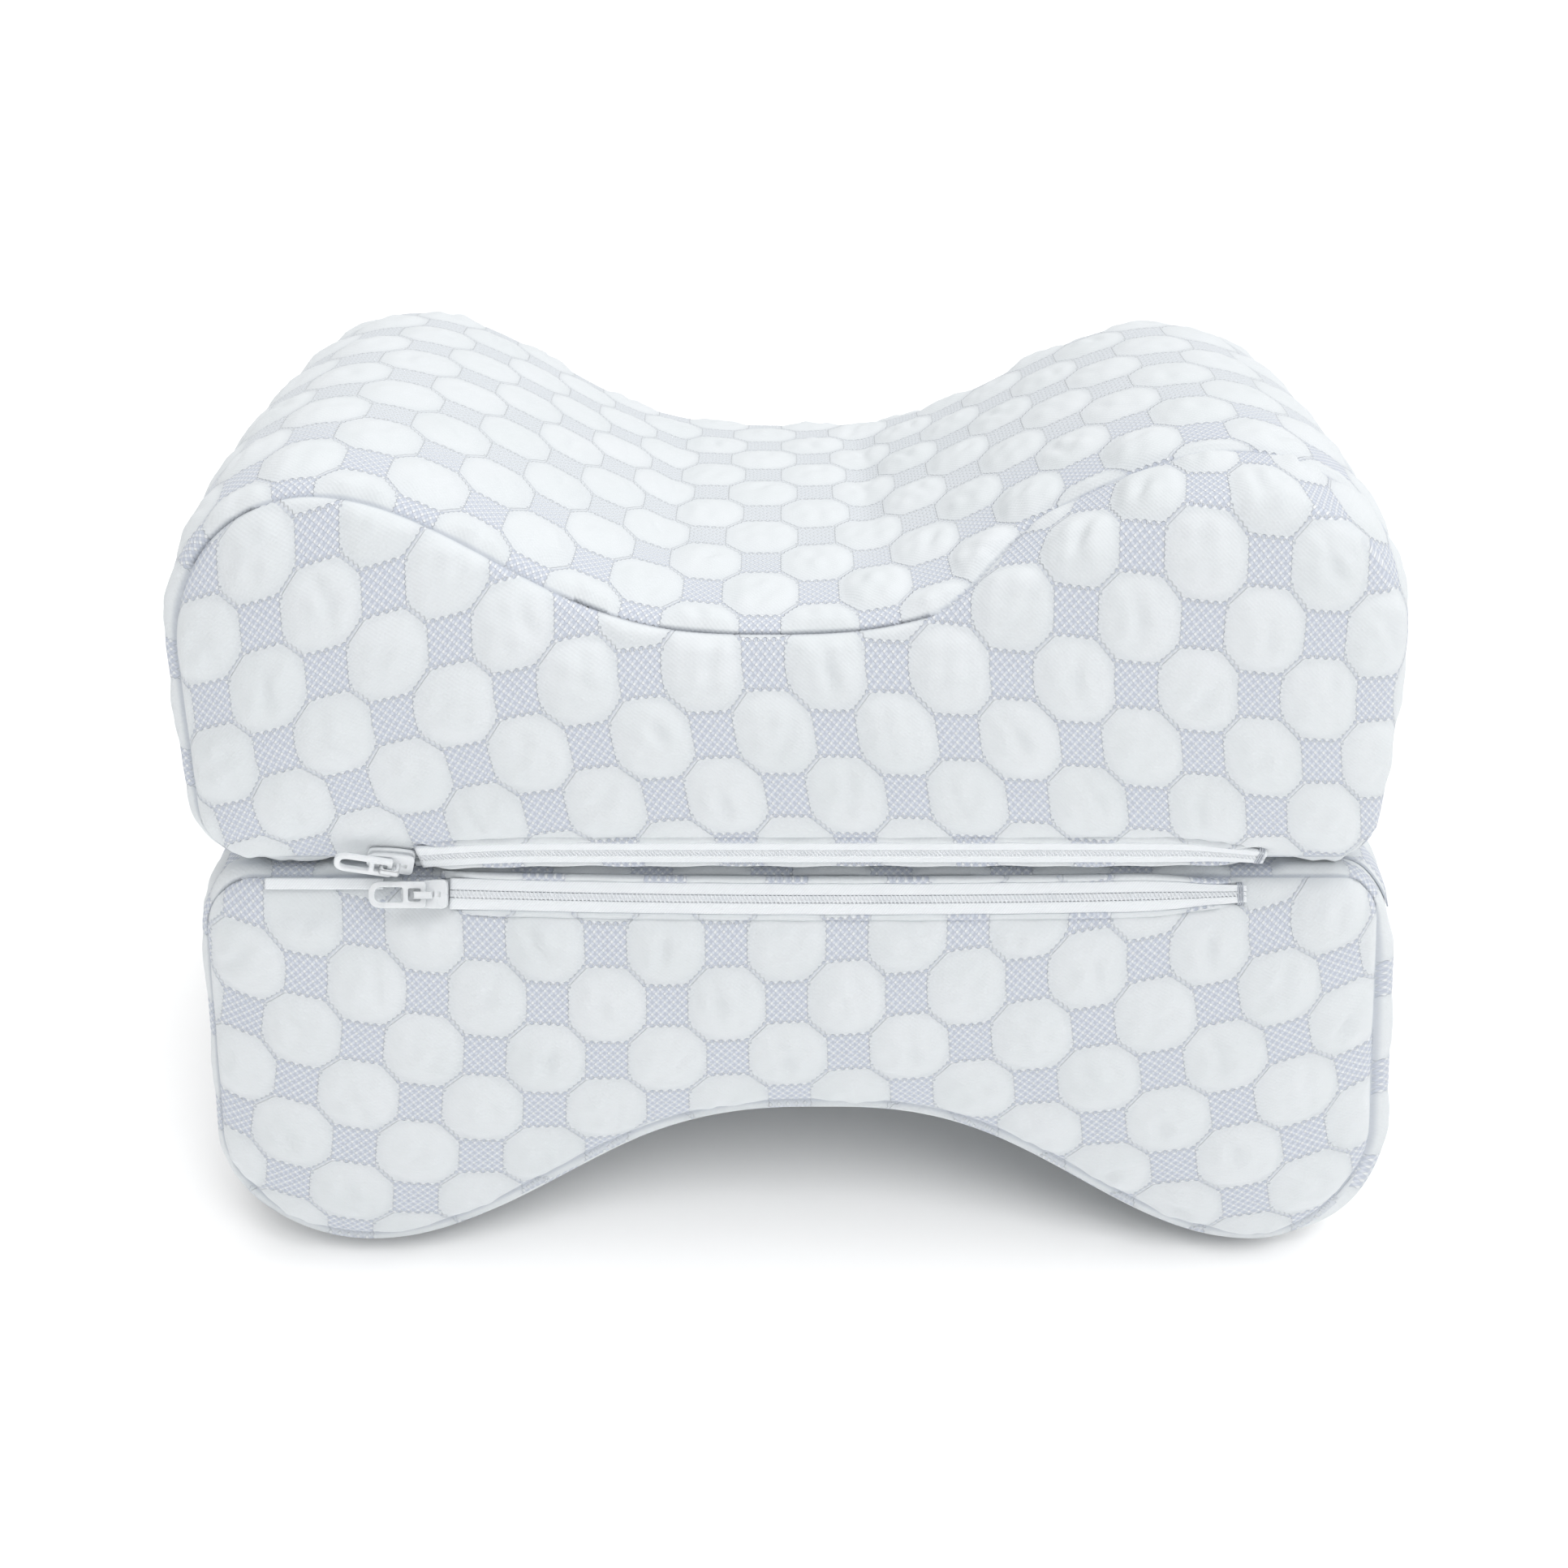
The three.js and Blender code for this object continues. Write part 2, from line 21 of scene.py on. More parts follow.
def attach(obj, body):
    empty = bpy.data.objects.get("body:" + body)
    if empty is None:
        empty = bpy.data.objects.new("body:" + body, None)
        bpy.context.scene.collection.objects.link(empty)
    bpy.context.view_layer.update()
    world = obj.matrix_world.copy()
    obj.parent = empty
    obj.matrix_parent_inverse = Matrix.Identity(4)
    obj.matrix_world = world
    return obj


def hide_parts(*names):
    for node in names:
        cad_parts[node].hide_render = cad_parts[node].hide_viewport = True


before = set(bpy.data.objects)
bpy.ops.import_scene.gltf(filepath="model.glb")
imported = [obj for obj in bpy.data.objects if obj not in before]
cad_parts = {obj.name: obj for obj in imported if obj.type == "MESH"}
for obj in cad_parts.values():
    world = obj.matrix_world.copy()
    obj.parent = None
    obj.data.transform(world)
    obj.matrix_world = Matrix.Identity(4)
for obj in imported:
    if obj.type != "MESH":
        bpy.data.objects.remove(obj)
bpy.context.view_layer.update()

# %% [markdown]
# ## Camera, light and floor
#
# The pillow was photographed for a shop: a white sweep, very soft light from all round, and a
# camera a little above, looking down at the front. A camera could be aimed with a constraint,
# but a plain turn is easier to keep: the lens looks along Y, pitched down by the angle that
# makes both seams converge as they do in the picture. The light is a bright sky with one broad
# sun, so that the floor stays white far away and only the shade under the pillow is grey.

# %% The camera
CAMERA_PLACE = (-0.0023, -0.427, 0.289)  # metres
CAMERA_DOWN = 25.9  # degrees
LENS = 47.96  # millimetres, on a sensor 36 wide
SENSOR = 36.0

camera_data = bpy.data.cameras.new("camera")
camera_data.lens = LENS
camera_data.sensor_width = SENSOR
camera_data.clip_start = 0.01
camera = bpy.data.objects.new("camera", camera_data)
camera.location = CAMERA_PLACE
camera.rotation_euler = (math.radians(90 - CAMERA_DOWN), 0, 0)
scene = bpy.context.scene
scene.collection.objects.link(camera)
scene.camera = camera
print("camera looks down", CAMERA_DOWN, "degrees")


# %% The light
SKY_STRENGTH = 0.58
SUN_STRENGTH = 1.8
SUN_WIDTH = 70  # degrees across
SUN_TURN = (0, 16, 0)  # degrees off straight down
BOX_POWER, BOX_SIZE = 0.37, 0.35
BOX_PLACE, BOX_AIM = (0.16, -0.50, 0.56), (0.0, -0.06, 0.13)  # metres
FLOOR_SUN, FLOOR_SUN_TURN, FLOOR_SUN_WIDTH = 2.0, (42, 14, 0), 28


def sky(strength):
    """A plain white sky: the camera sees it at full white, and it lights at the strength."""
    world = bpy.data.worlds.new("studio")
    world.use_nodes = True
    nodes, links = world.node_tree.nodes, world.node_tree.links
    background = nodes["Background"]
    background.inputs["Color"].default_value = (1, 1, 1, 1)
    path, seen = nodes.new("ShaderNodeLightPath"), nodes.new("ShaderNodeMapRange")
    seen.inputs["To Min"].default_value = strength
    seen.inputs["To Max"].default_value = 1
    links.new(path.outputs["Is Camera Ray"], seen.inputs["Value"])
    links.new(seen.outputs["Result"], background.inputs["Strength"])
    scene.world = world


def sun(name, strength, width, turn):
    """One broad light without a place, turned from straight down."""
    data = bpy.data.lights.new(name, "SUN")
    data.energy = strength
    data.angle = math.radians(width)
    light = bpy.data.objects.new(name, data)
    light.rotation_euler = [math.radians(a) for a in turn]
    scene.collection.objects.link(light)
    return light


def softbox(name, power, size, place, aim):
    """A square soft light over the camera, turned towards a point. Being near, it lights the upper
    section more than the lower one, as in the photograph."""
    data = bpy.data.lights.new(name, "AREA")
    data.energy, data.size = power, size
    light = bpy.data.objects.new(name, data)
    light.location = place
    light.rotation_mode = "QUATERNION"
    light.rotation_quaternion = (Vector(aim) - Vector(place)).to_track_quat("-Z", "Y")
    scene.collection.objects.link(light)


sky(SKY_STRENGTH)
sun("soft_sun", SUN_STRENGTH, SUN_WIDTH, SUN_TURN)
softbox("softbox", BOX_POWER, BOX_SIZE, BOX_PLACE, BOX_AIM)
floor_sun = sun("floor_sun", FLOOR_SUN, FLOOR_SUN_WIDTH, FLOOR_SUN_TURN)
scene.view_settings.view_transform = "Standard"


# %% Points into a mesh
MM = 0.001
MIDDLE_X = 2.3  # the row's middle, right of the middle of the front


def mesh_of(name, points, faces, smooth=True):
    """An object from points in millimetres: each is moved to the row's middle and put in metres."""
    metres = (np.asarray(points, float) - (MIDDLE_X, 0, 0)) * MM
    mesh = bpy.data.meshes.new(name)
    mesh.from_pydata(metres.tolist(), [], faces.tolist() if isinstance(faces, np.ndarray) else faces)
    mesh.update()
    mesh.polygons.foreach_set("use_smooth", np.full(len(mesh.polygons), smooth))
    piece = bpy.data.objects.new(name, mesh)
    scene.collection.objects.link(piece)
    return piece


def raw_points(mesh):
    """A mesh's points as they are stored."""
    flat = np.empty(len(mesh.vertices) * 3, np.float32)
    mesh.vertices.foreach_get("co", flat)
    return flat.reshape(-1, 3).astype(float)


def points_of(piece):
    """A piece's points, back in millimetres."""
    return raw_points(piece.data) / MM + (MIDDLE_X, 0, 0)


def put_points(piece, points):
    """Moves a piece's points to new places, given in millimetres."""
    metres = (points - (MIDDLE_X, 0, 0)) * MM
    piece.data.vertices.foreach_set("co", metres.astype(np.float32).ravel())
    piece.data.update()


def put_uv(piece, name, values):
    """Writes a UV map: two numbers for each corner of each face in turn."""
    layer = piece.data.uv_layers.new(name=name)
    layer.data.foreach_set("uv", np.asarray(values, np.float32).ravel())


def put_field(piece, label, values):
    """Writes one number for each point, which a material reads by its label."""
    field = piece.data.attributes.new(label, "FLOAT", "POINT")
    field.data.foreach_set("value", np.asarray(values, np.float32))


def corner_points(piece):
    """The number of the point at each corner of each face in turn."""
    numbers = np.empty(len(piece.data.loops), np.int32)
    piece.data.loops.foreach_get("vertex_index", numbers)
    return numbers


# %% The floor
FLOOR_HALF = 12000


def floor():
    """A square so wide that its far edge is beyond the picture."""
    h = FLOOR_HALF
    return mesh_of("floor", [(-h, -h, 0), (h, -h, 0), (h, h, 0), (-h, h, 0)], [[0, 1, 2, 3]], smooth=False)


studio_floor = floor()
swept = bpy.data.collections.new("lit_by_floor_sun")
swept.objects.link(studio_floor)
floor_sun.light_linking.receiver_collection = swept
print("floor is", 2 * FLOOR_HALF * MM, "metres wide")

# %% [markdown]
# ## Shader maths
#
# A knit's pattern is a formula: which lattice cell a point is in, and how far it is from its
# edge. In the shader editor that is dozens of Math nodes joined by hand. One small class that
# stands for a socket lets Python's own + - * / write them instead, so that the formula can be
# read.

# %% A socket that can be reckoned with


class Signal:
    """A number that changes over the surface. Each operator adds one Math node."""

    def __init__(self, recipe, socket):
        self.recipe = recipe
        self.socket = socket

    def math(self, operation, *values):
        sockets = dict(enumerate(values))
        return self.recipe.node("ShaderNodeMath", {"operation": operation}, sockets)

    def __abs__(self):
        return self.math("ABSOLUTE", self)

    def sine(self):
        return self.math("SINE", self)

    def centred(self):
        """The distance to the nearest whole number, from -0.5 to 0.5."""
        return self.math("FRACT", self + 0.5) - 0.5

    def larger(self, other):
        return self.math("MAXIMUM", self, other)

    def smaller(self, other):
        return self.math("MINIMUM", self, other)


def operator(operation, turned=False):
    """What Python calls for an operator. It is turned where the plain number stands on the left."""

    def reckon(signal, other):
        values = (other, signal) if turned else (signal, other)
        return signal.math(operation, *values)

    return reckon


for word, operation in (("add", "ADD"), ("sub", "SUBTRACT"), ("mul", "MULTIPLY"), ("truediv", "DIVIDE")):
    setattr(Signal, f"__{word}__", operator(operation))
    setattr(Signal, f"__r{word}__", operator(operation, turned=True))
Signal.__pow__ = operator("POWER")


class Recipe:
    """A material being made."""

    def __init__(self, name):
        self.material = bpy.data.materials.new(name)
        self.material.use_nodes = True
        self.tree = self.material.node_tree
        self.tree.nodes.clear()

    def node(self, kind, settings=None, sockets=None, out=0):
        """Adds a node: first its settings, then a value or a link for each named socket. out is the
        output that is wanted, or several."""
        made = self.tree.nodes.new(kind)
        for key, value in (settings or {}).items():
            setattr(made, key, value)
        for key, value in (sockets or {}).items():
            if isinstance(value, Signal):
                self.tree.links.new(value.socket, made.inputs[key])
            else:
                made.inputs[key].default_value = value
        if isinstance(out, tuple):
            return [Signal(self, made.outputs[o]) for o in out]
        return Signal(self, made.outputs[out])

    def step(self, value, low, high, start=0.0, end=1.0):
        """Goes smoothly from start to end as value goes from low to high."""
        sockets = {"Value": value, "From Min": low, "From Max": high, "To Min": start, "To Max": end}
        return self.node("ShaderNodeMapRange", {"interpolation_type": "SMOOTHSTEP"}, sockets)

    def mix(self, share, first, second):
        """Mixes two colours."""
        return self.node("ShaderNodeMix", {"data_type": "RGBA"}, {0: share, 6: first, 7: second}, out=2)

    def cloud(self, scale, detail=2.0):
        """Cloudy noise from 0 to 1, in the object's own coordinates."""
        place = self.node("ShaderNodeTexCoord", out="Object")
        sockets = {"Vector": place, "Scale": scale, "Detail": detail}
        return self.node("ShaderNodeTexNoise", {}, sockets)

    def map(self, name):
        """The two numbers of a UV map."""
        pair = self.node("ShaderNodeUVMap", {"uv_map": name})
        return self.node("ShaderNodeSeparateXYZ", {}, {"Vector": pair}, out=(0, 1))

    def field(self, label):
        """A number that is written on the points."""
        return self.node("ShaderNodeAttribute", {"attribute_name": label}, out="Fac")

    def bump(self, height, distance, strength=1.0):
        """Turns a height in metres times distance into a tilt of the surface."""
        sockets = {"Height": height, "Distance": distance, "Strength": strength}
        return self.node("ShaderNodeBump", {}, sockets)

    def surface(self, **sockets):
        """Ends the recipe with a Principled surface. A name's underscores stand for spaces."""
        named = {key.replace("_", " "): value for key, value in sockets.items()}
        shader = self.node("ShaderNodeBsdfPrincipled", {}, named)
        end = self.tree.nodes.new("ShaderNodeOutputMaterial")
        self.tree.links.new(shader.socket, end.inputs["Surface"])
        return self.material


def colour(hexadecimal):
    """A shader colour from the usual six digits, which are in sRGB."""
    parts = [int(hexadecimal[i : i + 2], 16) / 255 for i in (0, 2, 4)]
    linear = [p / 12.92 if p <= 0.04045 else ((p + 0.055) / 1.055) ** 2.4 for p in parts]
    return (*linear, 1.0)


# %% The floor's paper


def paper():
    """Matt white paper, with the faintest cloud in its tone."""
    recipe = Recipe("white_paper")
    tone = recipe.mix(recipe.cloud(3.0), colour("e3e3e3"), colour("e6e6e6"))
    return recipe.surface(Base_Color=tone, Roughness=0.9, Specular_IOR_Level=0.1)


studio_floor.data.materials.append(paper())
print("materials:", [m.name for m in bpy.data.materials])

# %% [markdown]
# ## The shape of a cushion
#
# Each cushion is a foam block cut like a bone: a front and a back panel of one outline, and a
# band between them. It could be sculpted, but the cover's quilting needs to know where on the
# cloth each point lies. So the block is worked out as surfaces with two parameters: the band
# runs around and through, and a panel is spanned between the four sides of its seam.

# %% Driving sizes
SEAM_Y = 68
SPLIT_LOW, SPLIT_HIGH = 96.0, 96.35
PANEL_CROWN, PANEL_ROLL, ROLL_POWER = 6.5, 30, 2.5
SIDE_CROWN = 4
ACROSS, UP, THROUGH = 38, 12, 22  # cells of the coarse grid
FINE = 8  # fine cells in a coarse one, along the seam and up the panels
FINE_THROUGH = 6
CURVE_POINTS = 500  # on each piece of an outline, before it is spaced out evenly

# %% Lines and arcs of an outline


def arc(centre, radii, start, stop):
    """Part of an ellipse: the centre plus the radii times the cosine and sine of the angle."""

    def along(t):
        a = np.radians(start + (stop - start) * t)
        return np.stack([centre[0] + radii[0] * np.cos(a), centre[1] + radii[1] * np.sin(a)], 1)

    return along


def line(first, last):
    """The first point plus a share of the way to the last."""
    return lambda t: np.stack([first[k] + (last[k] - first[k]) * t for k in (0, 1)], 1)


def dipped(start, stop, middle, end_z, power):
    """A valley or an arch: the middle's height plus the rest of it, times a squared sine to a power."""

    def along(t):
        x = start + (stop - start) * t
        end = np.where((x - middle[0]) * (start - middle[0]) > 0, start, stop)
        share = np.abs(np.sin(np.pi / 2 * (x - middle[0]) / (end - middle[0]))) ** (2 * power)
        return np.stack([x, middle[1] + (end_z - middle[1]) * share], 1)

    return along


# %% The two outlines


def upper_outline():
    """Bottom, right, top and left side of the upper seam, anticlockwise from the bottom left corner."""
    horn_left, horn_right, top = -85, 84, 172.6
    left, right, shoulder = -113.5, 114.5, 140
    z, bl, br = 98, (10, 12), (7, 8)
    at_left = ((horn_left, shoulder), (horn_left - left, top - shoulder))
    at_right = ((horn_right, shoulder), (right - horn_right, top - shoulder))
    base_left, base_right = (left + bl[0], z + bl[1]), (right - br[0], z + br[1])
    saddle = dipped(horn_right, horn_left, (-3, 146), top, 1.5)
    base = line((base_left[0], z), (base_right[0], z))
    side_right = line((right, base_right[1]), (right, shoulder))
    side_left = line((left, shoulder), (left, base_left[1]))
    return [
        [arc(base_left, bl, 225, 270), base, arc(base_right, br, 270, 315)],
        [arc(base_right, br, 315, 360), side_right, arc(*at_right, 0, 45)],
        [arc(*at_right, 45, 90), saddle, arc(*at_left, 90, 135)],
        [arc(*at_left, 135, 180), side_left, arc(base_left, bl, 180, 225)],
    ]


def lower_outline():
    """The same for the lower seam, with an arch between two feet."""
    foot_left, foot_right, sole, ankle = -88, 100, 6.5, 34
    left, right, top_left, top_right = -117.5, 122.5, -115, 118
    z, tl, tr = 95.2, (12, 14), (9, 12)
    at_left = ((foot_left, ankle), (foot_left - left, ankle - sole))
    at_right = ((foot_right, ankle), (right - foot_right, ankle - sole))
    high_left, high_right = (top_left + tl[0], z - tl[1]), (top_right - tr[0], z - tr[1])
    arch = dipped(foot_left, foot_right, (8, 40.4), sole, 1.4)
    side_right = line((right, ankle), (top_right, high_right[1]))
    top = line((high_right[0], z), (high_left[0], z))
    side_left = line((top_left, high_left[1]), (left, ankle))
    return [
        [arc(*at_left, 225, 270), arch, arc(*at_right, 270, 315)],
        [arc(*at_right, 315, 360), side_right, arc(high_right, tr, 0, 45)],
        [arc(high_right, tr, 45, 90), top, arc(high_left, tl, 90, 135)],
        [arc(high_left, tl, 135, 180), side_left, arc(*at_left, 180, 225)],
    ]


# %% What differs between the sections
# "crown_up" and "crown_down" are the band's swell. "step" is the lattice's cell and "puff" the middle
# of one puff. "bow" holds the middle of the rows' curve and its share on the left and the right.
# "outer" is 1 where the outer side is up. "taut_reach" is how far behind the seam the cover is pulled
# tight, and "taut_puff" the share of the puffs' height left there. "bulge" is for the left and right.
UPPER = {
    "name": "upper_quilted_cushion",
    "node": "upper_cushion",
    "outline": upper_outline,
    "floor": SPLIT_HIGH,
    "ceiling": 1000,
    "crown_up": 6,
    "crown_down": 1.6,
    "step": (11.4, 12.6),
    "puff": (7.5, 140.4),
    "bow": (0, 0.0018, 0.0006),
    "shear": 2.2,
    "flare": 0,
    "band_start": 6.8,
    "outer": 1,
    "taut_reach": 42,
    "taut_puff": 0.6,
    "bulge": (1.3, 1.6),
    "seed": 11,
}
LOWER = {
    "name": "lower_quilted_cushion",
    "node": "lower_cushion",
    "outline": lower_outline,
    "floor": 0,
    "ceiling": SPLIT_LOW,
    "crown_up": 1.2,
    "crown_down": 8,
    "step": (11.8, 13),
    "puff": (-11.3, 68.9),
    "bow": (-25.7, -0.0014, -0.0011),
    "shear": 0,
    "flare": 0.028,
    "band_start": 8,
    "outer": -1,
    "taut_reach": 4,
    "taut_puff": 0.25,
    "bulge": (0.3, 3.2),
    "seed": 23,
}
print("cushions:", UPPER["name"], "and", LOWER["name"])

# %% The seam as a loop


def evenly(pieces, count):
    """The same number of even steps along pieces that follow each other."""
    t = np.arange(CURVE_POINTS) / CURVE_POINTS
    points = np.concatenate([piece(t) for piece in pieces] + [pieces[-1](np.ones(1))])
    run = np.concatenate([[0], np.cumsum(np.linalg.norm(np.diff(points, axis=0), axis=1))])
    wanted = np.linspace(0, run[-1], count + 1)
    return np.stack([np.interp(wanted, run, points[:, k]) for k in (0, 1)], 1)


def seam_loop(section, fine):
    """The seam's points, the outward direction at each one, and the run to each and all round."""
    counts = np.array([ACROSS, UP, ACROSS, UP]) * fine
    sides = [evenly(side, n)[:-1] for side, n in zip(section["outline"](), counts)]
    loop = np.concatenate(sides)
    chord = np.roll(loop, -1, 0) - np.roll(loop, 1, 0)
    chord /= np.linalg.norm(chord, axis=1, keepdims=True)
    out = np.stack([chord[:, 1], -chord[:, 0]], 1)
    steps = np.linalg.norm(np.roll(loop, -1, 0) - loop, axis=1)
    return {"loop": loop, "out": out, "run": np.concatenate([[0], np.cumsum(steps)])}


# %% Panels and band


def spanned(loop, across, up):
    """A panel's flat grid. Each point is ruled between the left and right sides, plus ruled between
    the bottom and top, less what is ruled between the four corners alone."""
    around = len(loop)
    bottom = loop[np.arange(across + 1)]
    right = loop[across + np.arange(up + 1)]
    top = loop[across + up + (across - np.arange(across + 1))]
    left = loop[(2 * across + up + (up - np.arange(up + 1))) % around]
    u = (np.arange(across + 1) / across)[:, None, None]
    v = (np.arange(up + 1) / up)[None, :, None]
    ruled = (1 - v) * bottom[:, None] + v * top[:, None] + (1 - u) * left[None] + u * right[None]
    low = (1 - u) * bottom[0] + u * bottom[-1]
    high = (1 - u) * top[0] + u * top[-1]
    return ruled - (1 - v) * low - v * high


def ring_places(across, up):
    """For each point on a panel's edge, its place on the seam loop, and -1 for the points inside."""
    around = 2 * (across + up)
    place = np.full((across + 1, up + 1), -1)
    i, j = np.arange(across + 1), np.arange(up + 1)
    place[:, up] = across + up + (across - i)
    place[across, :] = across + j
    place[:, 0] = i
    place[0, 1:] = (2 * across + up + (up - j[1:])) % around
    return place


def seam_gaps(loop, points):
    """The distance from each point to the seam, and the place of the seam's nearest point. Far from
    the seam the distance is a soft one, so that no ridge shows where two sides are equally near: the
    sum of each seam point's distance to a high negative power, brought back by the opposite power."""
    power = 8
    line_share = math.sqrt(math.pi) * math.gamma((power - 1) / 2) / math.gamma(power / 2)
    step = np.linalg.norm(np.roll(loop, -1, 0) - loop, axis=1).mean()
    flat = points.reshape(-1, 2)
    near, soft = np.empty(len(flat)), np.empty(len(flat))
    place = np.empty(len(flat), int)
    for at in range(0, len(flat), 4000):
        part = slice(at, at + 4000)
        square = ((flat[part, None] - loop[None]) ** 2).sum(2)
        place[part] = square.argmin(1)
        near[part] = np.sqrt(square.min(1))
        total = (np.maximum(square, 1e-6) ** (-power / 2)).sum(1)
        soft[part] = (total * step / line_share) ** (-1 / (power - 1))
    share = np.clip((near - 3) / 6, 0, 1)
    gap = near + (soft - near) * share
    shape = points.shape[:-1]
    return gap.reshape(shape), place.reshape(shape)


def swell(gap, crown):
    """A panel's height over its seam: the crown, less a power of how near the seam is."""
    inward = np.minimum(1, gap / PANEL_ROLL)
    return crown * (1 - (1 - inward) ** ROLL_POWER)


def band_profile(y):
    """The band's swell from seam to seam: part parabola, part flatter curve of the eighth power."""
    t = np.abs(y / SEAM_Y)
    return 0.55 * (1 - t**2) + 0.45 * (1 - t**8)


def block(section, fine, fine_through, fullness):
    """The cushion without its quilting. fullness scales how far its faces swell past the seams."""
    across, up, through = ACROSS * fine, UP * fine, THROUGH * fine_through
    seam = seam_loop(section, fine)
    loop, out = seam["loop"], seam["out"]
    around = len(loop)
    toward = np.where(out[:, 1] > 0, section["crown_up"], section["crown_down"])
    crown = (SIDE_CROWN + (toward - SIDE_CROWN) * np.abs(out[:, 1])) * fullness
    y = np.linspace(-SEAM_Y, SEAM_Y, through + 1)
    lift = crown[None] * band_profile(y)[:, None]
    band = np.empty((through + 1, around, 3))
    band[..., 0] = loop[None, :, 0] + out[None, :, 0] * lift
    band[..., 1] = y[:, None]
    band[..., 2] = loop[None, :, 1] + out[None, :, 1] * lift
    flat = spanned(loop, across, up)
    gap, place = seam_gaps(loop, flat)
    height = SEAM_Y + swell(gap, PANEL_CROWN * fullness)
    front, back = (np.stack([flat[..., 0], side * height, flat[..., 1]], -1) for side in (-1, 1))
    band[..., 2] = np.clip(band[..., 2], section["floor"], section["ceiling"])
    size = (across, up, through)
    return {"size": size, "band": band, "front": front, "back": back, "gap": gap, "place": place, **seam}


# %% One closed mesh from a band and two panels


def sewn(shape):
    """All points, or whatever the three grids hold, in one list, and each panel's grid of places
    in it. The panels' edges are the band's first and last ring."""
    across, up, through = shape["size"]
    around = 2 * (across + up)
    edge = ring_places(across, up)
    inside = edge < 0
    count = int(inside.sum())
    first = (through + 1) * around
    front, back = edge.copy(), edge + through * around
    front[inside] = first + np.arange(count)
    back[inside] = first + count + np.arange(count)
    band = shape["band"].reshape(first, *shape["band"].shape[2:])
    return np.concatenate([band, shape["front"][inside], shape["back"][inside]]), front, back


def corners(grid):
    """The four corners of each cell of a grid of numbers or vectors, in turn round the cell."""
    return np.stack([grid[:-1, :-1], grid[1:, :-1], grid[1:, 1:], grid[:-1, 1:]], 2)


def cushion_faces(shape, front, back):
    """Four places for each face of the band, the front and the back, turned to point outwards."""
    across, up, through = shape["size"]
    around = 2 * (across + up)
    rings = np.arange(through + 1)[:, None] * around + (np.arange(around + 1) % around)[None]
    parts = [corners(grid) for grid in (rings, front, np.swapaxes(back, 0, 1))]
    return np.concatenate([part.reshape(-1, 4) for part in parts])


# %% [markdown]
# ## Stuffing
#
# Foam presses a knit cover outwards everywhere, and only the seams hold it back. That is what
# Blender's Cloth does with a pressure and no gravity. It is run on the coarse grid, with the
# seams pinned, starting from a block a little too small. What it adds to the smooth block, no
# more than a cap, is then spread over the fine grid, so that every point keeps its place on the
# cloth for the quilting. Near the zips the tape holds the cover, so nothing is added there.

# %% The simulation
PRESSURE = 5.0
FRAMES = 20
START_FULLNESS = 0.95
SLACK_CAP = 1.6


def swollen(shape):
    """The points after the cloth has been pressed out for some frames, with its seams pinned."""
    points, front, back = sewn(shape)
    piece = mesh_of("stuffing", points, cushion_faces(shape, front, back))
    across, up, through = shape["size"]
    around = 2 * (across + up)
    pins = np.concatenate([np.arange(around), through * around + np.arange(around)])
    group = piece.vertex_groups.new(name="seams")
    group.add(pins.tolist(), 1.0, "REPLACE")
    cloth = piece.modifiers.new("filling", "CLOTH")
    cloth.settings.use_pressure = True
    cloth.settings.uniform_pressure_force = PRESSURE
    cloth.settings.effector_weights.gravity = 0
    cloth.settings.vertex_group_mass = "seams"
    cloth.point_cache.frame_start = 1
    cloth.point_cache.frame_end = FRAMES
    for number in range(1, FRAMES + 1):
        scene.frame_set(number)
    pressed = points_of(piece.evaluated_get(bpy.context.evaluated_depsgraph_get()))
    bpy.data.objects.remove(piece)
    scene.frame_set(1)
    return pressed


def slack_of(section):
    """How far the pressed cloth lies off the smooth block, on the coarse grid, capped."""
    full = block(section, 1, 1, 1.0)
    target, front, back = sewn(full)
    moved = np.zeros_like(target)
    moved = swollen(block(section, 1, 1, START_FULLNESS)) - target
    length = np.linalg.norm(moved, axis=1, keepdims=True)
    print(section["name"], f"moves up to {length.max():.2f} mm, mean {length.mean():.2f}")
    moved *= np.minimum(1, SLACK_CAP / np.maximum(length, 1e-6))
    shape = full["band"].shape
    return moved[: shape[0] * shape[1]].reshape(shape), moved[front], moved[back]


# %% From the coarse to the fine grid


def finer(count, factor, closed):
    """The weights that take count coarse values to factor times as many: each fine value is a
    cubic through the four coarse ones round it, as in a Catmull-Rom curve."""
    fine = count * factor if closed else (count - 1) * factor + 1
    at = np.arange(fine) / factor
    base = np.minimum(np.floor(at).astype(int), count - 1 if closed else count - 2)
    t = at - base
    cubic = [
        -0.5 * t + t**2 - 0.5 * t**3,
        1 - 2.5 * t**2 + 1.5 * t**3,
        0.5 * t + 2 * t**2 - 1.5 * t**3,
        -0.5 * t**2 + 0.5 * t**3,
    ]
    weights = np.zeros((fine, count))
    for k, share in enumerate(cubic):
        place = base + k - 1
        place = place % count if closed else np.clip(place, 0, count - 1)
        np.add.at(weights, (np.arange(fine), place), share)
    return weights


def spread(values, first, second):
    """A coarse grid of vectors on the fine grid: weights along the first side, then the second."""
    return np.einsum("ia,abc,jb->ijc", first, values, second, optimize=True)


# %% [markdown]
# ## Quilting
#
# The cover is knitted as two layers that meet along a lattice: padded octagons stand up, and
# flat squares of open mesh lie between them, as on a chessboard. Where two octagons meet, only
# a thin stitched groove parts them. A pattern could be painted on, but the puffs catch the light
# and scallop the outline, so they are raised in the mesh. Its two numbers, a column and a row of
# the lattice, also go into the UV map, where the knit's material finds the same cells again.

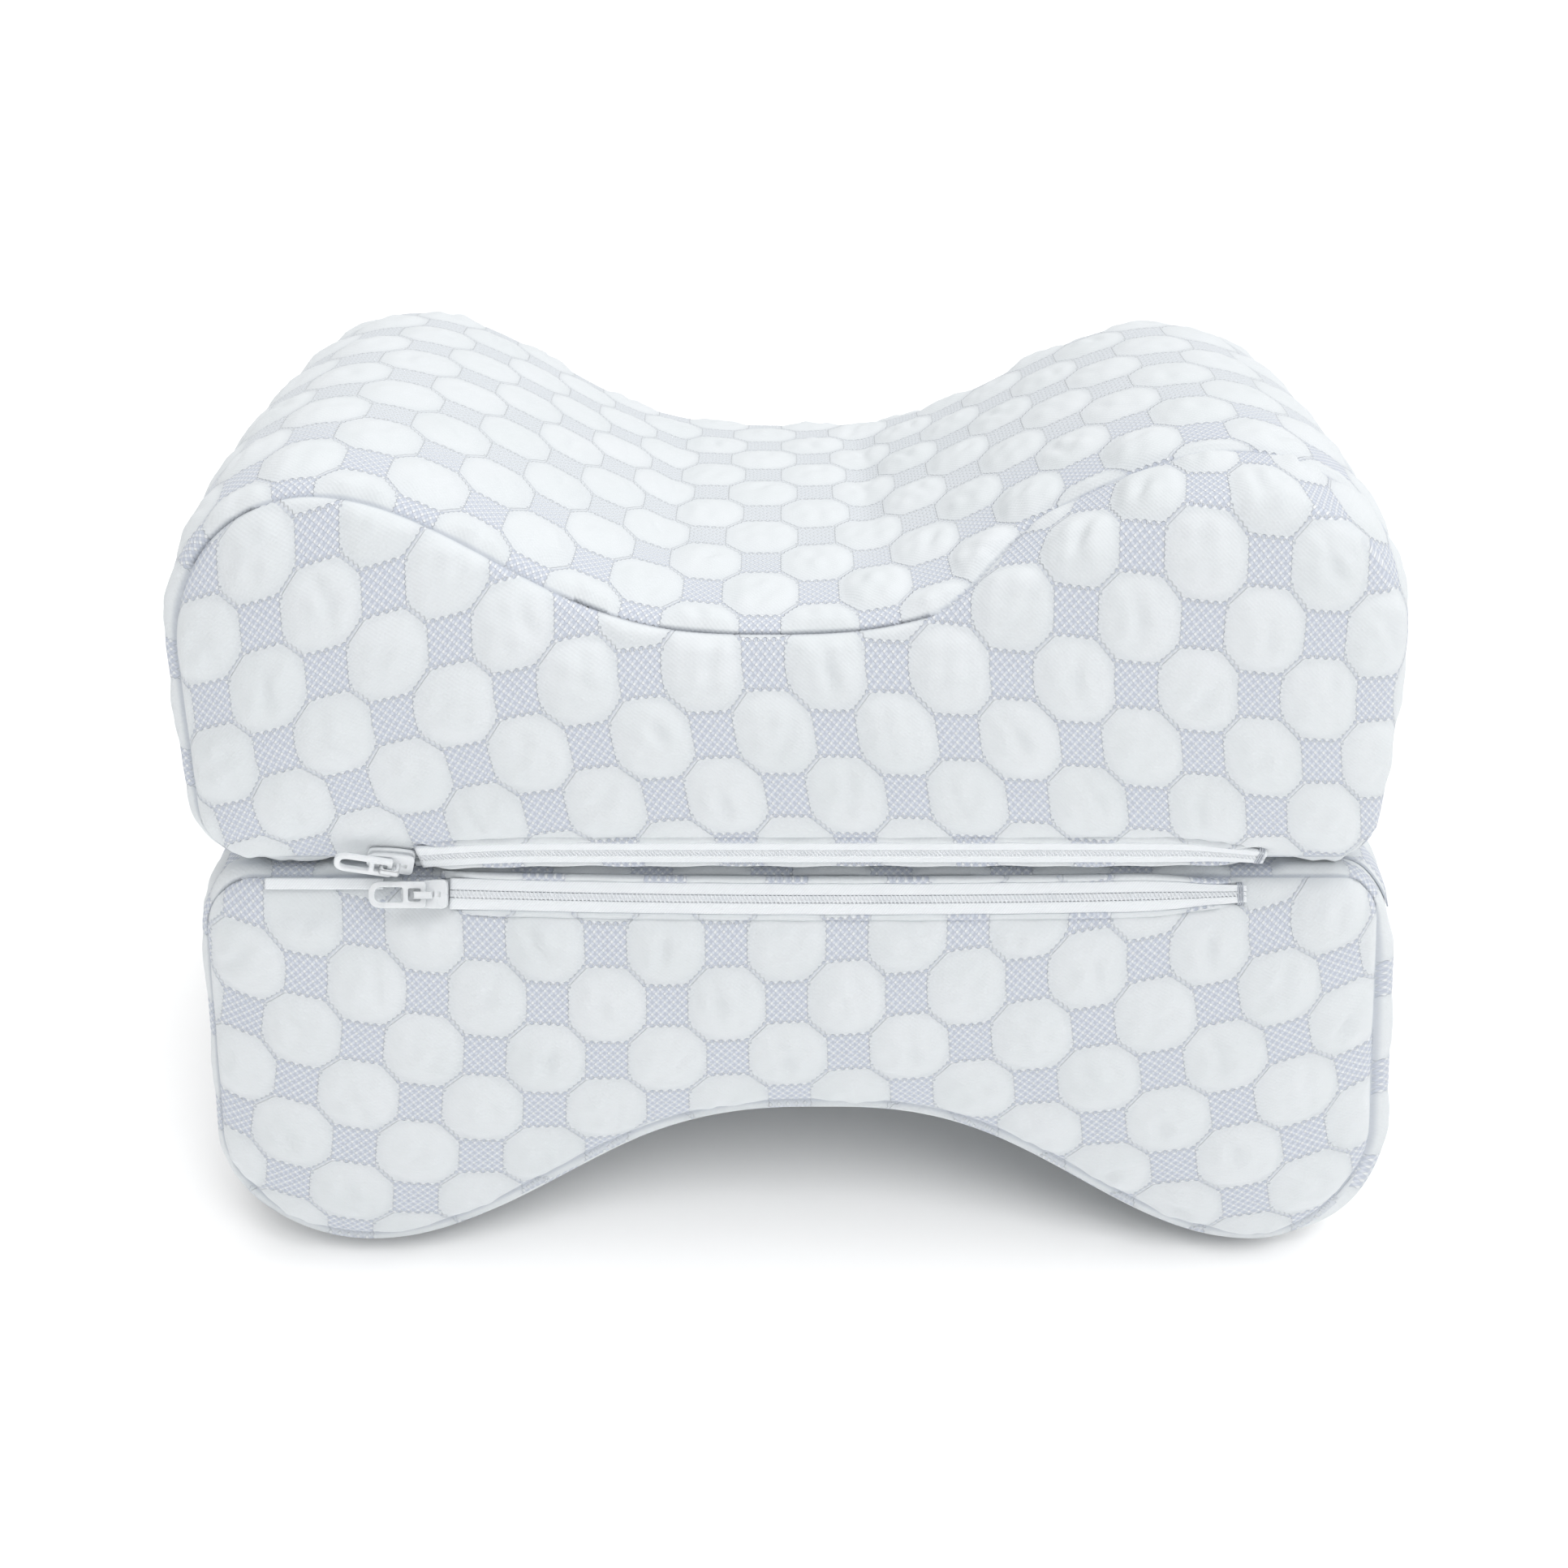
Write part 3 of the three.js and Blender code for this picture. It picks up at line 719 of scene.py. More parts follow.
# %% The zips' places, which the quilting leaves flat
# "z" is the height of a zip's middle, "dip" its fall at both ends and "sag" its sag between them. The
# quilting is flat from "flat_from" on, which is left of the slider, and "turn" is the slider's own angle.
UPPER_ZIP = {"name": "upper", "section": UPPER, "from": -70.5, "to": 93, "flat_from": -90}
UPPER_ZIP |= {"z": 101.8, "dip": 1.6, "sag": 0, "turn": -14}
LOWER_ZIP = {"name": "lower", "section": LOWER, "from": -65, "to": 90, "flat_from": -108}
LOWER_ZIP |= {"z": 91.8, "dip": 0, "sag": 1.0, "turn": 0}
ZIPS = [UPPER_ZIP, LOWER_ZIP]
EDGE_RISE = 1.05
RUN_OUT, RUN_OUT_LENGTH = 0.45, 22  # how much narrower a zip gets towards its right end
DIP_LEFT, DIP_RIGHT = 0.16, 0.12  # shares of a zip's length over which it falls off


def zip_height(zip_line, x):
    """The height of a zip's middle: it falls off as a square near both ends, and sags between."""
    along = (x - zip_line["from"]) / (zip_line["to"] - zip_line["from"])
    at_left, at_right = 1 - along / DIP_LEFT, (along - (1 - DIP_RIGHT)) / DIP_RIGHT
    fall = np.maximum(0, at_left) ** 2 + np.maximum(0, at_right) ** 2
    return zip_line["z"] - zip_line["dip"] * fall - zip_line["sag"] * (1 - (2 * along - 1) ** 2)


def ease(value, low, high):
    """Goes smoothly from 0 to 1 as value goes from low to high: 3t squared less 2t cubed."""
    t = np.clip((value - low) / (high - low), 0, 1)
    return t * t * (3 - 2 * t)


def off_middle(zip_line, x, z):
    """How far above or below a zip's middle a point lies. Past an end, the end's height counts."""
    return np.abs(z - zip_height(zip_line, np.clip(x, zip_line["from"], zip_line["to"])))


def narrowed(zip_line, x):
    """The share of a zip's width that is left: it runs out narrower under the stitching at its
    right end."""
    return 1 - RUN_OUT * ease(x, zip_line["to"] - RUN_OUT_LENGTH, zip_line["to"] + 2)


def off_zips(x, z, near, far):
    """0 beside a zip and 1 away from it, easing between the two distances."""
    free = np.ones_like(x)
    for zip_line in ZIPS:
        away = ease(off_middle(zip_line, x, z), near, far)
        left_of = ease(zip_line["flat_from"] - x, -3, 3)
        right_of = ease(x, zip_line["to"] + 3, zip_line["to"] + 9)
        free = np.minimum(free, np.maximum(away, np.maximum(left_of, right_of)))
    return free


def turned_edge(section, x, z, gap):
    """How far the cover stands up beside a zip, where its edge is turned under: a step at the
    tape's edge, fading into the quilting, and dying away at the zip's ends and at the seam."""
    height = np.zeros_like(x)
    for zip_line in ZIPS:
        if zip_line["section"] is section:
            away = off_middle(zip_line, x, z) / narrowed(zip_line, x)
            start, stop = zip_line["from"], zip_line["to"]
            ends = ease(x, start - 3, start + 5) * (1 - ease(x, stop - 4, stop + 4))
            height += ends * ease(away, 3.0, 3.9) * (1 - ease(away, 6, 16))
    return EDGE_RISE * height * ease(gap, 0, 2)


# %% Where on the lattice a point lies
BAND_STEP = 12.36


def panel_lattice(section, x, z):
    """Column and row on a panel. The rows bow by a square of x, and each lower row drifts sideways
    and is stretched a little wider."""
    centre, left, right = section["bow"]
    side = x - centre
    row = (section["puff"][1] - z - np.where(side < 0, left, right) * side**2) / section["step"][1]
    lower = np.maximum(0, row)
    step = section["step"][0] * (1 + section["flare"] * lower)
    return np.stack([(x - section["puff"][0] - section["shear"] * lower) / step, row], -1)


def depths(shape):
    """The depth of each ring of the band, from the front seam to the back seam."""
    return np.linspace(-SEAM_Y, SEAM_Y, len(shape["band"]))


def band_lattice(section, shape):
    """Column and row on the band: the run round the seam, and the way through. The columns are
    stretched a little, so that an even number of them goes round and the pattern closes."""
    run, out, loop = shape["run"], shape["out"], shape["loop"]
    outer = out[:, 1] * section["outer"] > 0.5
    start = run[:-1][outer][np.abs(loop[outer, 0] - section["band_start"]).argmin()]
    columns = 2 * round(run[-1] / section["step"][0] / 2)
    column = (run - start) / run[-1] * columns
    row = (depths(shape) + SEAM_Y) / BAND_STEP
    return np.stack(np.broadcast_arrays(column[None], row[:, None]), -1)


# %% How the cover is sewn on and pulled
SET_BACK = 16  # the upper seam's distance behind the edge of the right horn
REAR_LEFT, REAR_RIGHT = 10.5, 31
REAR_SEAM = 0.9  # taken off the seam's groove there
RIM = 1.5
BULGE_RADIUS = 4.5


def set_back(section, seam):
    """How far behind the front edge the seam is sewn. It is 0, but on the upper right horn the
    front panel reaches over the edge and down the side."""
    loop = seam["loop"]
    over = ease(loop[:, 0], 26, 52) * (seam["out"][:, 1] > 0)
    down = ease(loop[:, 0], 80, 100) * ease(loop[:, 1], 102, 116)
    return SET_BACK * np.maximum(over * (loop[:, 1] > 125), down) * (section["outer"] > 0)


def rim_height(section, seam):
    """How far the band is folded up over the front panel's edge: only under the arch and the feet,
    where the photograph shows a narrow rim below the seam."""
    return RIM * ease(-seam["out"][:, 1], 0.1, 0.6) * (section["outer"] < 0)


def rear_radius(section, seam):
    """The radius of the soft rear edge along the seam: it grows to the right, and is 0 where the
    seam goes down the sides and between the cushions."""
    radius = REAR_LEFT + (REAR_RIGHT - REAR_LEFT) * ease(seam["loop"][:, 0], -10, 55)
    return radius * ease(seam["out"][:, 1], 0.1, 0.8) * (section["outer"] > 0)


def taut(section, shape):
    """How tightly the band is drawn over the section's outer side: 0 at the front seam, and
    growing to 1 on the way to the back, where the puffs are stretched flat. The knit pales the mesh
    squares by it too, which on the upper section's top is painted light from above."""
    outer = ease(shape["out"][:, 1] * section["outer"], -0.4, 0.3)
    return outer[None] * ease(shape["behind"] - shape["back_by"], 0, section["taut_reach"])


def on_rim(shape):
    """1 on the part of the front that the rim covers, and 0 above the seam."""
    return 1 - ease(shape["gap"] - shape["rim"][shape["place"]], -0.2, 0.4)


def outwards(shape):
    """The outward direction at each point of the seam, in space."""
    return np.stack([shape["out"][:, 0], np.zeros(len(shape["out"])), shape["out"][:, 1]], -1)


def side_bulge(section, shape):
    """The band stands out beyond the front seam on the sides. It rises over a quarter circle, and
    dies away towards the back and towards the split."""
    sideways, behind = shape["out"][:, 0], shape["behind"]
    left, right = section["bulge"]
    height = left * ease(-sideways, 0.4, 0.9) + right * ease(sideways, 0.4, 0.9)
    height = height * ease(np.abs(shape["loop"][:, 1] - SPLIT_LOW), 4, 22)
    fading = 1 - ease(behind, SEAM_Y, 2 * SEAM_Y)
    rise = np.sqrt(1 - np.clip(1 - behind / BULGE_RADIUS, 0, 1) ** 2) * fading
    return outwards(shape)[None] * (rise * height[None])[..., None]


def edge_bend(distance, radius):
    """Rounds a square edge: a point this far from it goes to the same share of a quarter circle.
    Gives the shift towards the edge and the shift inwards, both 0 from the radius on."""
    reach, inside = np.maximum(radius, 1e-6), radius > distance
    angle = np.pi / 4 * np.clip(1 - distance / reach, 0, 1)
    along = reach * np.sin(angle) - np.maximum(radius - distance, 0)
    return np.where(inside, along, 0), np.where(inside, reach * (1 - np.cos(angle)), 0)


def soft_rear(shape):
    """The band and the back panel with the edge between them rounded."""
    radius, place, out = shape["radius"], shape["place"], outwards(shape)
    rearwards = np.array([0.0, 1.0, 0.0])
    along, inwards = edge_bend(2 * SEAM_Y - shape["behind"], radius[None])
    band = shape["band"] + rearwards * along[..., None] - out[None] * inwards[..., None]
    along, inwards = edge_bend(shape["gap"], radius[place])
    back = shape["back"] + out[place] * along[..., None] - rearwards * inwards[..., None]
    return band, back


# %% The height of the quilting
PUFF = 1.6
PUFF_EDGE = 0.63
PUFF_POWER = 2.4
SIDE_PUFF = 0.4  # share of the puffs' height left on the right and left side
STITCHED = 3.5  # puffs rise this gradually from a seam
SEAM_DEPTH, SEAM_WIDTH = 1.1, 1.2
CREASE_DEPTH, CREASE_WIDTH, CREASE_LENGTH = 1.15, 1.3, 8.0
CREASED = 0.75  # share of the puffs
RIPPLE, TILT = 0.34, 0.05


def quilting(lattice, step, seed):
    """Millimetres above the cloth's ground. In a puff's own diamond the octagon's distance is 1 on
    its edge, and the height is 1 less a power of it, with each puff a little taller or flatter and
    some of them creased once."""
    column, row = lattice[..., 0], lattice[..., 1]
    first, second = (column + row) / 2, (column - row) / 2
    i, j = np.round(first).astype(int), np.round(second).astype(int)
    a, b = first - i, second - j
    reach, side = np.abs(a) + np.abs(b), 2 * np.maximum(np.abs(a), np.abs(b))
    distance = ((reach / PUFF_EDGE) ** 4 + side**4) ** 0.25
    within = np.minimum(1, distance)
    chance = np.random.default_rng(seed).random((64, 64, 6))[i % 64, j % 64]
    height = PUFF * (0.85 + 0.3 * chance[..., 0]) * (1 - within**PUFF_POWER)
    across, up = (a + b) * step[0], (b - a) * step[1]
    turn = (chance[..., 1] - 0.5) * 1.6
    off = across * np.cos(turn) + up * np.sin(turn) - (chance[..., 2] - 0.5) * 5
    along = up * np.cos(turn) - across * np.sin(turn) - (chance[..., 3] - 0.5) * 6
    crease = np.exp(-((off / CREASE_WIDTH) ** 2) - (along / CREASE_LENGTH) ** 2)
    creased = (chance[..., 4] < CREASED) * (0.35 + 0.65 * chance[..., 5]) * (distance < 1)
    ripple = RIPPLE * (
        np.sin(off * 1.25 + 6 * chance[..., 0]) * np.cos(along * 0.5 + 6 * chance[..., 1])
        + 0.6 * np.sin(off * 0.6 - along * 0.9 + 9 * chance[..., 3])
    )
    tilt = TILT * (across * (chance[..., 2] - 0.5) + up * (chance[..., 5] - 0.5)) * (1 - within)
    return height + tilt + (1 - within**2) * (ripple - CREASE_DEPTH * creased * crease)


def off_fold(shape):
    """0 where the side fold lies on the band, and 1 elsewhere."""
    side = ease(shape["out"][:, 0], 0.1, 0.4)
    return 1 - side * (1 - ease(np.abs(shape["loop"][:, 1] - SPLIT_LOW), 14, 20))


def puff_heights(section, shape, band, wrap, panel):
    """How high the cloth stands on the band, the front and the back. The puffs are flatter on the
    sides, where the band is taut and beside the rim, and gone at the zips and under the side fold."""
    step, seed = section["step"], section["seed"]
    behind, x, z = shape["behind"], shape["front"][..., 0], shape["front"][..., 2]
    sideways = 1 - (1 - SIDE_PUFF) * ease(np.abs(shape["out"][:, 0]), 0.5, 0.9)
    flatter = (1 - (1 - section["taut_puff"]) * taut(section, shape)) * sideways
    beside_rim = 1 - (1 - ease(behind, 3, 30)) * (shape["rim"] / RIM)[None]
    on_wrap = quilting(wrap, step, seed) * sideways
    on_band = quilting(band[:, :-1], (step[0], BAND_STEP), seed + 1) * flatter
    on_band = np.where(behind < shape["back_by"], on_wrap, on_band) * off_fold(shape) * beside_rim
    on_front = quilting(panel, step, seed) * off_zips(x, z, 3.4, 7)
    on_front = (on_front + turned_edge(section, x, z, shape["gap"])) * (1 - on_rim(shape))
    return on_band, on_front, quilting(panel, step, seed + 2)


# %% Normals of a mesh of four-sided faces


def normals_of(points, faces):
    """Each point's direction outwards: the sum of its faces' normals, from their diagonals."""
    p = points[faces]
    normal = np.cross(p[:, 2] - p[:, 0], p[:, 3] - p[:, 1])
    sums = [np.bincount(faces.ravel(), np.repeat(normal[:, k], 4), len(points)) for k in range(3)]
    total = np.stack(sums, 1)
    return total / np.maximum(np.linalg.norm(total, axis=1, keepdims=True), 1e-12)


# %% The stuffed block


def stuffed(section):
    """The full block with the cloth's slack on it, its rear edge rounded and its sides bulging."""
    shape = block(section, FINE, FINE_THROUGH, 1.0)
    shape["behind"] = (depths(shape) + SEAM_Y)[:, None]
    shape["back_by"] = set_back(section, shape)
    shape["rim"] = rim_height(section, shape)
    shape["radius"] = rear_radius(section, shape)
    band, front, back = slack_of(section)
    round_up, deep_up = finer(2 * (ACROSS + UP), FINE, True), finer(THROUGH + 1, FINE_THROUGH, False)
    wide_up, high_up = finer(ACROSS + 1, FINE, False), finer(UP + 1, FINE, False)
    free = off_zips(shape["front"][..., 0], shape["front"][..., 2], 5, 14)[..., None]
    shape["band"] = shape["band"] + spread(band, deep_up, round_up)
    shape["front"] = shape["front"] + spread(front, wide_up, high_up) * free
    shape["back"] = shape["back"] + spread(back, wide_up, high_up)
    shape["band"], shape["back"] = soft_rear(shape)
    shape["band"] = shape["band"] + side_bulge(section, shape)
    return shape


# %% The lattice and the seams on it
WRAP_REACH = 30  # the front panel's lattice goes on this far past its edge
FAR = 200


def on_all(shape, band, front, back):
    """Values on the band and the panels as one list, in the order of the cushion's points."""
    band = np.broadcast_to(band, shape["band"].shape[:2])
    return sewn({**shape, "band": band, "front": front, "back": back})[0]


def lattices_of(section, shape):
    """Column and row on the band, on the band where the front panel reaches over it, and on a panel."""
    beyond = shape["loop"] + shape["out"] * np.minimum(shape["behind"], WRAP_REACH)[..., None]
    wrap = panel_lattice(section, beyond[..., 0], beyond[..., 1])
    panel = panel_lattice(section, shape["front"][..., 0], shape["front"][..., 2])
    return band_lattice(section, shape), wrap, panel


def quilt_uv(shape, band, wrap, panel):
    """The lattice at each corner of each face. A face of the band takes the front panel's lattice
    where its middle lies in front of the seam."""
    closed = np.concatenate([wrap, wrap[:, :1]], 1)
    middle = (shape["behind"][:-1] + shape["behind"][1:]) / 2
    chosen = (middle < shape["back_by"])[..., None, None]
    on_band = np.where(chosen, corners(closed), corners(band))
    cells = [on_band, corners(panel), corners(np.swapaxes(panel, 0, 1))]
    return np.concatenate([part.reshape(-1, 2) for part in cells])


def seam_distance(shape):
    """Each point's distance to the nearest seam. The front seam lies behind the edge on the right
    horn and above it along the rim, and the rear seam is faint where the edge is soft."""
    place, rim, back_by, behind = shape["place"], shape["rim"], shape["back_by"], shape["behind"]
    faint = REAR_SEAM * ease(shape["radius"], 0, 4)
    band = np.minimum(np.abs(behind - back_by) + rim, 2 * SEAM_Y - behind + faint)
    front = np.abs(shape["gap"] - rim[place]) + back_by[place]
    return on_all(shape, band, front, shape["gap"] + faint[place])


# %% A quilted cushion
ROUNDS = 60  # of smoothing, where the cover goes over an edge without a seam
ROUND_FROM, ROUND_REACH = 3, 11


def horn_weight(shape):
    """How much a point is smoothed: 1 on the right horn's front edge, which no seam holds, and 0
    from a short way off it on."""
    over = shape["back_by"][shape["place"]]
    reach = on_all(shape, shape["back_by"], over, over) / SET_BACK
    edge = on_all(shape, shape["behind"], shape["gap"], shape["gap"] + FAR)
    return reach * (1 - ease(edge, ROUND_FROM, ROUND_REACH))


def quilted_cushion(section):
    """The stuffed block with its seams drawn in and its puffs raised, as one closed piece."""
    shape = stuffed(section)
    points, front, back = sewn(shape)
    faces = cushion_faces(shape, front, back)
    piece = mesh_of(section["name"], points, faces)
    weight = horn_weight(shape)
    if weight.max() > 0:
        piece = rounded(piece, weight)
        points = points_of(piece)

    gap, lattices = seam_distance(shape), lattices_of(section, shape)
    raised = on_all(shape, *puff_heights(section, shape, *lattices)) * ease(gap, 0, STITCHED)
    raised -= SEAM_DEPTH * np.exp(-((gap / SEAM_WIDTH) ** 2))
    points = points + normals_of(points, faces) * raised[:, None]
    points[:, 2] = np.clip(points[:, 2], section["floor"], section["ceiling"])
    put_points(piece, points)

    rim = on_rim(shape) * shape["rim"][shape["place"]] / RIM
    put_uv(piece, "quilt", quilt_uv(shape, *lattices))
    # The distance to the seam, which the knit reads to paint shade in the seam's groove.
    put_field(piece, "seam_gap", gap)
    # How taut the cover is, and on the lower front the rim's share: the knit pales its mesh by it, painted
    # light on the upper top.
    put_field(piece, "taut", on_all(shape, taut(section, shape), rim, 0 * rim))
    return piece


def rounded(piece, weight):
    """Smooths the piece where the weights are, with Blender's own Smooth, and applies it."""
    group = piece.vertex_groups.new(name="soft_edge")
    levels = 10
    for level in range(1, levels + 1):
        chosen = np.flatnonzero(np.round(weight * levels) == level)
        group.add(chosen.tolist(), level / levels, "REPLACE")
    smooth = piece.modifiers.new("soft_edge", "SMOOTH")
    smooth.vertex_group = "soft_edge"
    smooth.iterations = ROUNDS
    smooth.factor = 0.5
    graph = bpy.context.evaluated_depsgraph_get()
    made = bpy.data.meshes.new_from_object(piece.evaluated_get(graph))
    piece.modifiers.clear()
    piece.vertex_groups.clear()
    piece.data = made
    return piece


# %% Both cushions
cushions = {section["node"]: quilted_cushion(section) for section in (UPPER, LOWER)}
for node, piece in cushions.items():
    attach(piece, "root")
    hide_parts(node)
    print(piece.name, len(piece.data.polygons), "faces")

# %% [markdown]
# ## The zips
#
# A zip is two woven tapes with a nylon coil between them, sewn under the turned edges of the
# cover. Seen from here it is a few pale stripes with thin lines of shade. Each stripe is one
# profile carried along the zip's line on the panel: a flat one for a tape, a half round for the
# cover's turned edge. The coil is a real one, two rows of loops that lie in each other.

# %% Places on a front panel
SMALL = 0.4
SEAMS = {section["node"]: seam_loop(section, FINE)["loop"] for section in (UPPER, LOWER)}


def front_point(section, x, z):
    """A point of the smooth front panel: its depth is the seam's and the swell at its distance."""
    gap, _ = seam_gaps(SEAMS[section["node"]], np.stack([x, z], -1))
    return np.stack([x, -SEAM_Y - swell(gap, PANEL_CROWN), z], -1)


def unit(vectors):
    return vectors / np.linalg.norm(vectors, axis=-1, keepdims=True)


def panel_axes(section, x, z, slope=0.0):
    """Place, and the directions along the line, up the panel and out of it. Out is the cross
    product of the two small steps on the surface."""
    slant = front_point(section, x + SMALL, z) - front_point(section, x - SMALL, z)
    rise = front_point(section, x, z + SMALL) - front_point(section, x, z - SMALL)
    out = unit(np.cross(slant, rise))
    along = unit(slant + rise * np.asarray(slope)[..., None])
    return front_point(section, x, z), along, np.cross(out, along), out


def zip_axes(zip_line, x):
    """The same along a zip's middle."""
    slope = zip_height(zip_line, x + 0.5) - zip_height(zip_line, x - 0.5)
    return panel_axes(zip_line["section"], x, zip_height(zip_line, x), slope)


# %% A profile carried along


def ring_faces(steps, size):
    """The faces between closed rings of points that follow each other, and a flat one on each end."""
    index = np.arange(steps * size).reshape(steps, size)
    wrapped = np.concatenate([index, index[:, :1]], 1)
    quads = np.stack([wrapped[:-1, :-1], wrapped[:-1, 1:], wrapped[1:, 1:], wrapped[1:, :-1]], -1)
    return quads.reshape(-1, 4).tolist() + [index[0, ::-1].tolist(), index[-1].tolist()]


def carried(name, axes, profile):
    """Rings of points, each the place plus the profile's share up the panel and out of it. The UV
    map holds the run and the way round, in mm."""
    place, _, up, out = axes
    profile = np.broadcast_to(profile, (len(place), *np.shape(profile)[-2:]))
    rings = place[:, None] + up[:, None] * profile[..., :1] + out[:, None] * profile[..., 1:]
    piece = mesh_of(name, rings.reshape(-1, 3), ring_faces(*rings.shape[:2]))
    run = np.concatenate([[0], np.cumsum(np.linalg.norm(np.diff(place, axis=0), axis=1))])
    around = np.linalg.norm(np.roll(profile[0], -1, 0) - profile[0], axis=1)
    across = np.concatenate([[0], np.cumsum(around)])
    grid = np.stack(np.broadcast_arrays(run[:, None], across[None]), -1)
    cells = np.stack([grid[:-1, :-1], grid[:-1, 1:], grid[1:, 1:], grid[1:, :-1]], 2).reshape(-1, 2)
    put_uv(piece, "strip", np.concatenate([cells, grid[0, :-1][::-1], grid[-1, :-1]]))
    return piece


def rounded_bar(width, thick, base, roll, count=5):
    """A flat bar's profile with its two upper corners turned: quarter circles of radius roll."""
    a = np.linspace(0, np.pi / 2, count)
    half, top = width / 2, base + thick
    right = np.stack([half - roll + roll * np.cos(a), top - roll + roll * np.sin(a)], 1)
    left = np.stack([-(half - roll) - roll * np.sin(a), top - roll + roll * np.cos(a)], 1)
    return np.concatenate([[[half, base]], right, left, [[-half, base]]])


def recalculated(piece, merged=None):
    """Turns all faces outwards, and first merges points that are nearer than merged, in metres."""
    mesh = bmesh.new()
    mesh.from_mesh(piece.data)
    if merged:
        bmesh.ops.remove_doubles(mesh, verts=mesh.verts, dist=merged)
    bmesh.ops.recalc_face_normals(mesh, faces=mesh.faces)
    mesh.to_mesh(piece.data)
    mesh.free()
    return piece


def tube(name, path, first, second, radius, sides):
    """A closed tube: rings round a path, each a circle in the plane of two directions."""
    a = 2 * np.pi * np.arange(sides) / sides
    circle = first[:, None] * np.cos(a)[:, None] + second[:, None] * np.sin(a)[:, None]
    rings = path[:, None] + circle * radius
    return recalculated(mesh_of(name, rings.reshape(-1, 3), ring_faces(len(path), sides)))


# %% Tapes, coil and turned edges
TAPE_WIDTH, TAPE_THICK, TAPE_OFF, TAPE_ROLL = 2.3, 0.9, 1.9, 0.35
CORE_WIDTH, CORE_THICK, CORE_ROLL = 1.3, 0.8, 0.2
CLEAR = 0.35
ZIP_STEPS = 220
COIL_PITCH, COIL_WIRE = 0.8, 0.36
COIL_OFF, COIL_WIDE, COIL_HIGH, COIL_LEVEL = 0.3, 0.42, 0.32, 0.68
TURN_STEPS, WIRE_SIDES = 8, 5
LIP_IN, LIP_OUT, LIP_TOP = 2.8, 4.4, 1.5
LIP_SUNK, LIP_FOOT, LIP_FADE, LIP_ACROSS = 0.4, 1.2, 8, 12
SIDES = {1: "top", -1: "bottom"}


def zip_strip(zip_line, name, profile):
    """A profile along a zip, narrower towards the right end."""
    x = np.linspace(zip_line["from"], zip_line["to"], ZIP_STEPS)
    width = profile[None, :, 0] * narrowed(zip_line, x)[:, None]
    rings = np.stack(np.broadcast_arrays(width, profile[None, :, 1]), -1)
    return carried(f"{zip_line['name']}_zip_{name}", zip_axes(zip_line, x), rings)


def zip_tape(zip_line, side):
    """A woven tape: a bar with rounded edges, beside the coil."""
    profile = rounded_bar(TAPE_WIDTH, TAPE_THICK, CLEAR, TAPE_ROLL)
    return zip_strip(zip_line, f"woven_tape_{SIDES[side]}", profile + (side * TAPE_OFF, 0))


def coil_wire(zip_line, number, side):
    """One of the two nylon coils: its wire goes round an ellipse once a pitch, half a pitch behind
    the other one, so that their loops lie in each other."""
    turns = int((zip_line["to"] - zip_line["from"] - 1) / COIL_PITCH)
    t = np.arange(turns * TURN_STEPS + 1) / TURN_STEPS
    phase = 2 * np.pi * (t + 0.25 * side)
    x = zip_line["from"] + 0.5 + t * COIL_PITCH
    place, along, up, out = zip_axes(zip_line, x)
    centre_up = (side * COIL_OFF + COIL_WIDE * np.cos(phase)) * narrowed(zip_line, x)
    centre_out = CLEAR + COIL_LEVEL + COIL_HIGH * np.sin(phase)
    path = place + up * centre_up[:, None] + out * centre_out[:, None]
    tangent = unit(np.gradient(path, axis=0))
    across = unit(np.cross(tangent, along + 0.001))
    name = f"{zip_line['name']}_zip_loops_{number}"
    return tube(name, path, across, np.cross(tangent, across), COIL_WIRE / 2, WIRE_SIDES)


def cover_lip(zip_line, side):
    """The cover's turned edge beside the tape: a half round that the quilted cloth runs out of.
    It dies away at both ends of the zip."""
    x = np.linspace(zip_line["from"] - 2, zip_line["to"] + 0.5, ZIP_STEPS)
    share = np.linspace(0, 1, LIP_ACROSS)
    across = LIP_IN + (LIP_OUT - LIP_IN) * share
    lift = np.sqrt(np.clip(1 - (2 * share - 1) ** 2, 0, 1))
    ends = ease(x, x[0], x[0] + LIP_FADE) * (1 - ease(x, x[-1] - LIP_FADE, x[-1]))
    wave = 1 + 0.06 * np.sin(x * 0.55) + 0.05 * np.sin(x * 0.23 + 1)
    top = -LIP_SUNK + (LIP_TOP + LIP_SUNK) * lift[None] * (ends * wave)[:, None]
    width = side * across[None] * narrowed(zip_line, x)[:, None]
    under = np.stack([width[:, ::-1], np.full(top.shape, -LIP_FOOT)], -1)
    profile = np.concatenate([np.stack([width, top], -1), under], 1)
    name = f"{zip_line['name']}_cover_edge_{SIDES[side]}"
    piece = carried(name, zip_axes(zip_line, x), profile[:, ::-side])
    points = points_of(piece)[corner_points(piece)]
    put_uv(piece, "quilt", panel_lattice(zip_line["section"], points[:, 0], points[:, 2]))
    # Far from any seam, so the turned edge gets none of the knit's painted seam shade.
    put_field(piece, "seam_gap", np.full(len(piece.data.vertices), PANEL_ROLL))
    return piece


# %% [markdown]
# ## Sliders and pulls
#
# The slider is a small cast body with a bridge on top, and the pull is a flat ring that hangs in
# the bridge. They could be modelled face by face, but each is an outline with holes, cut from a
# plate: a flat Blender curve fills it, thickens it and rounds its edges. It is then made a mesh,
# and its points are laid on the panel where the solid is.

# %% Outlines


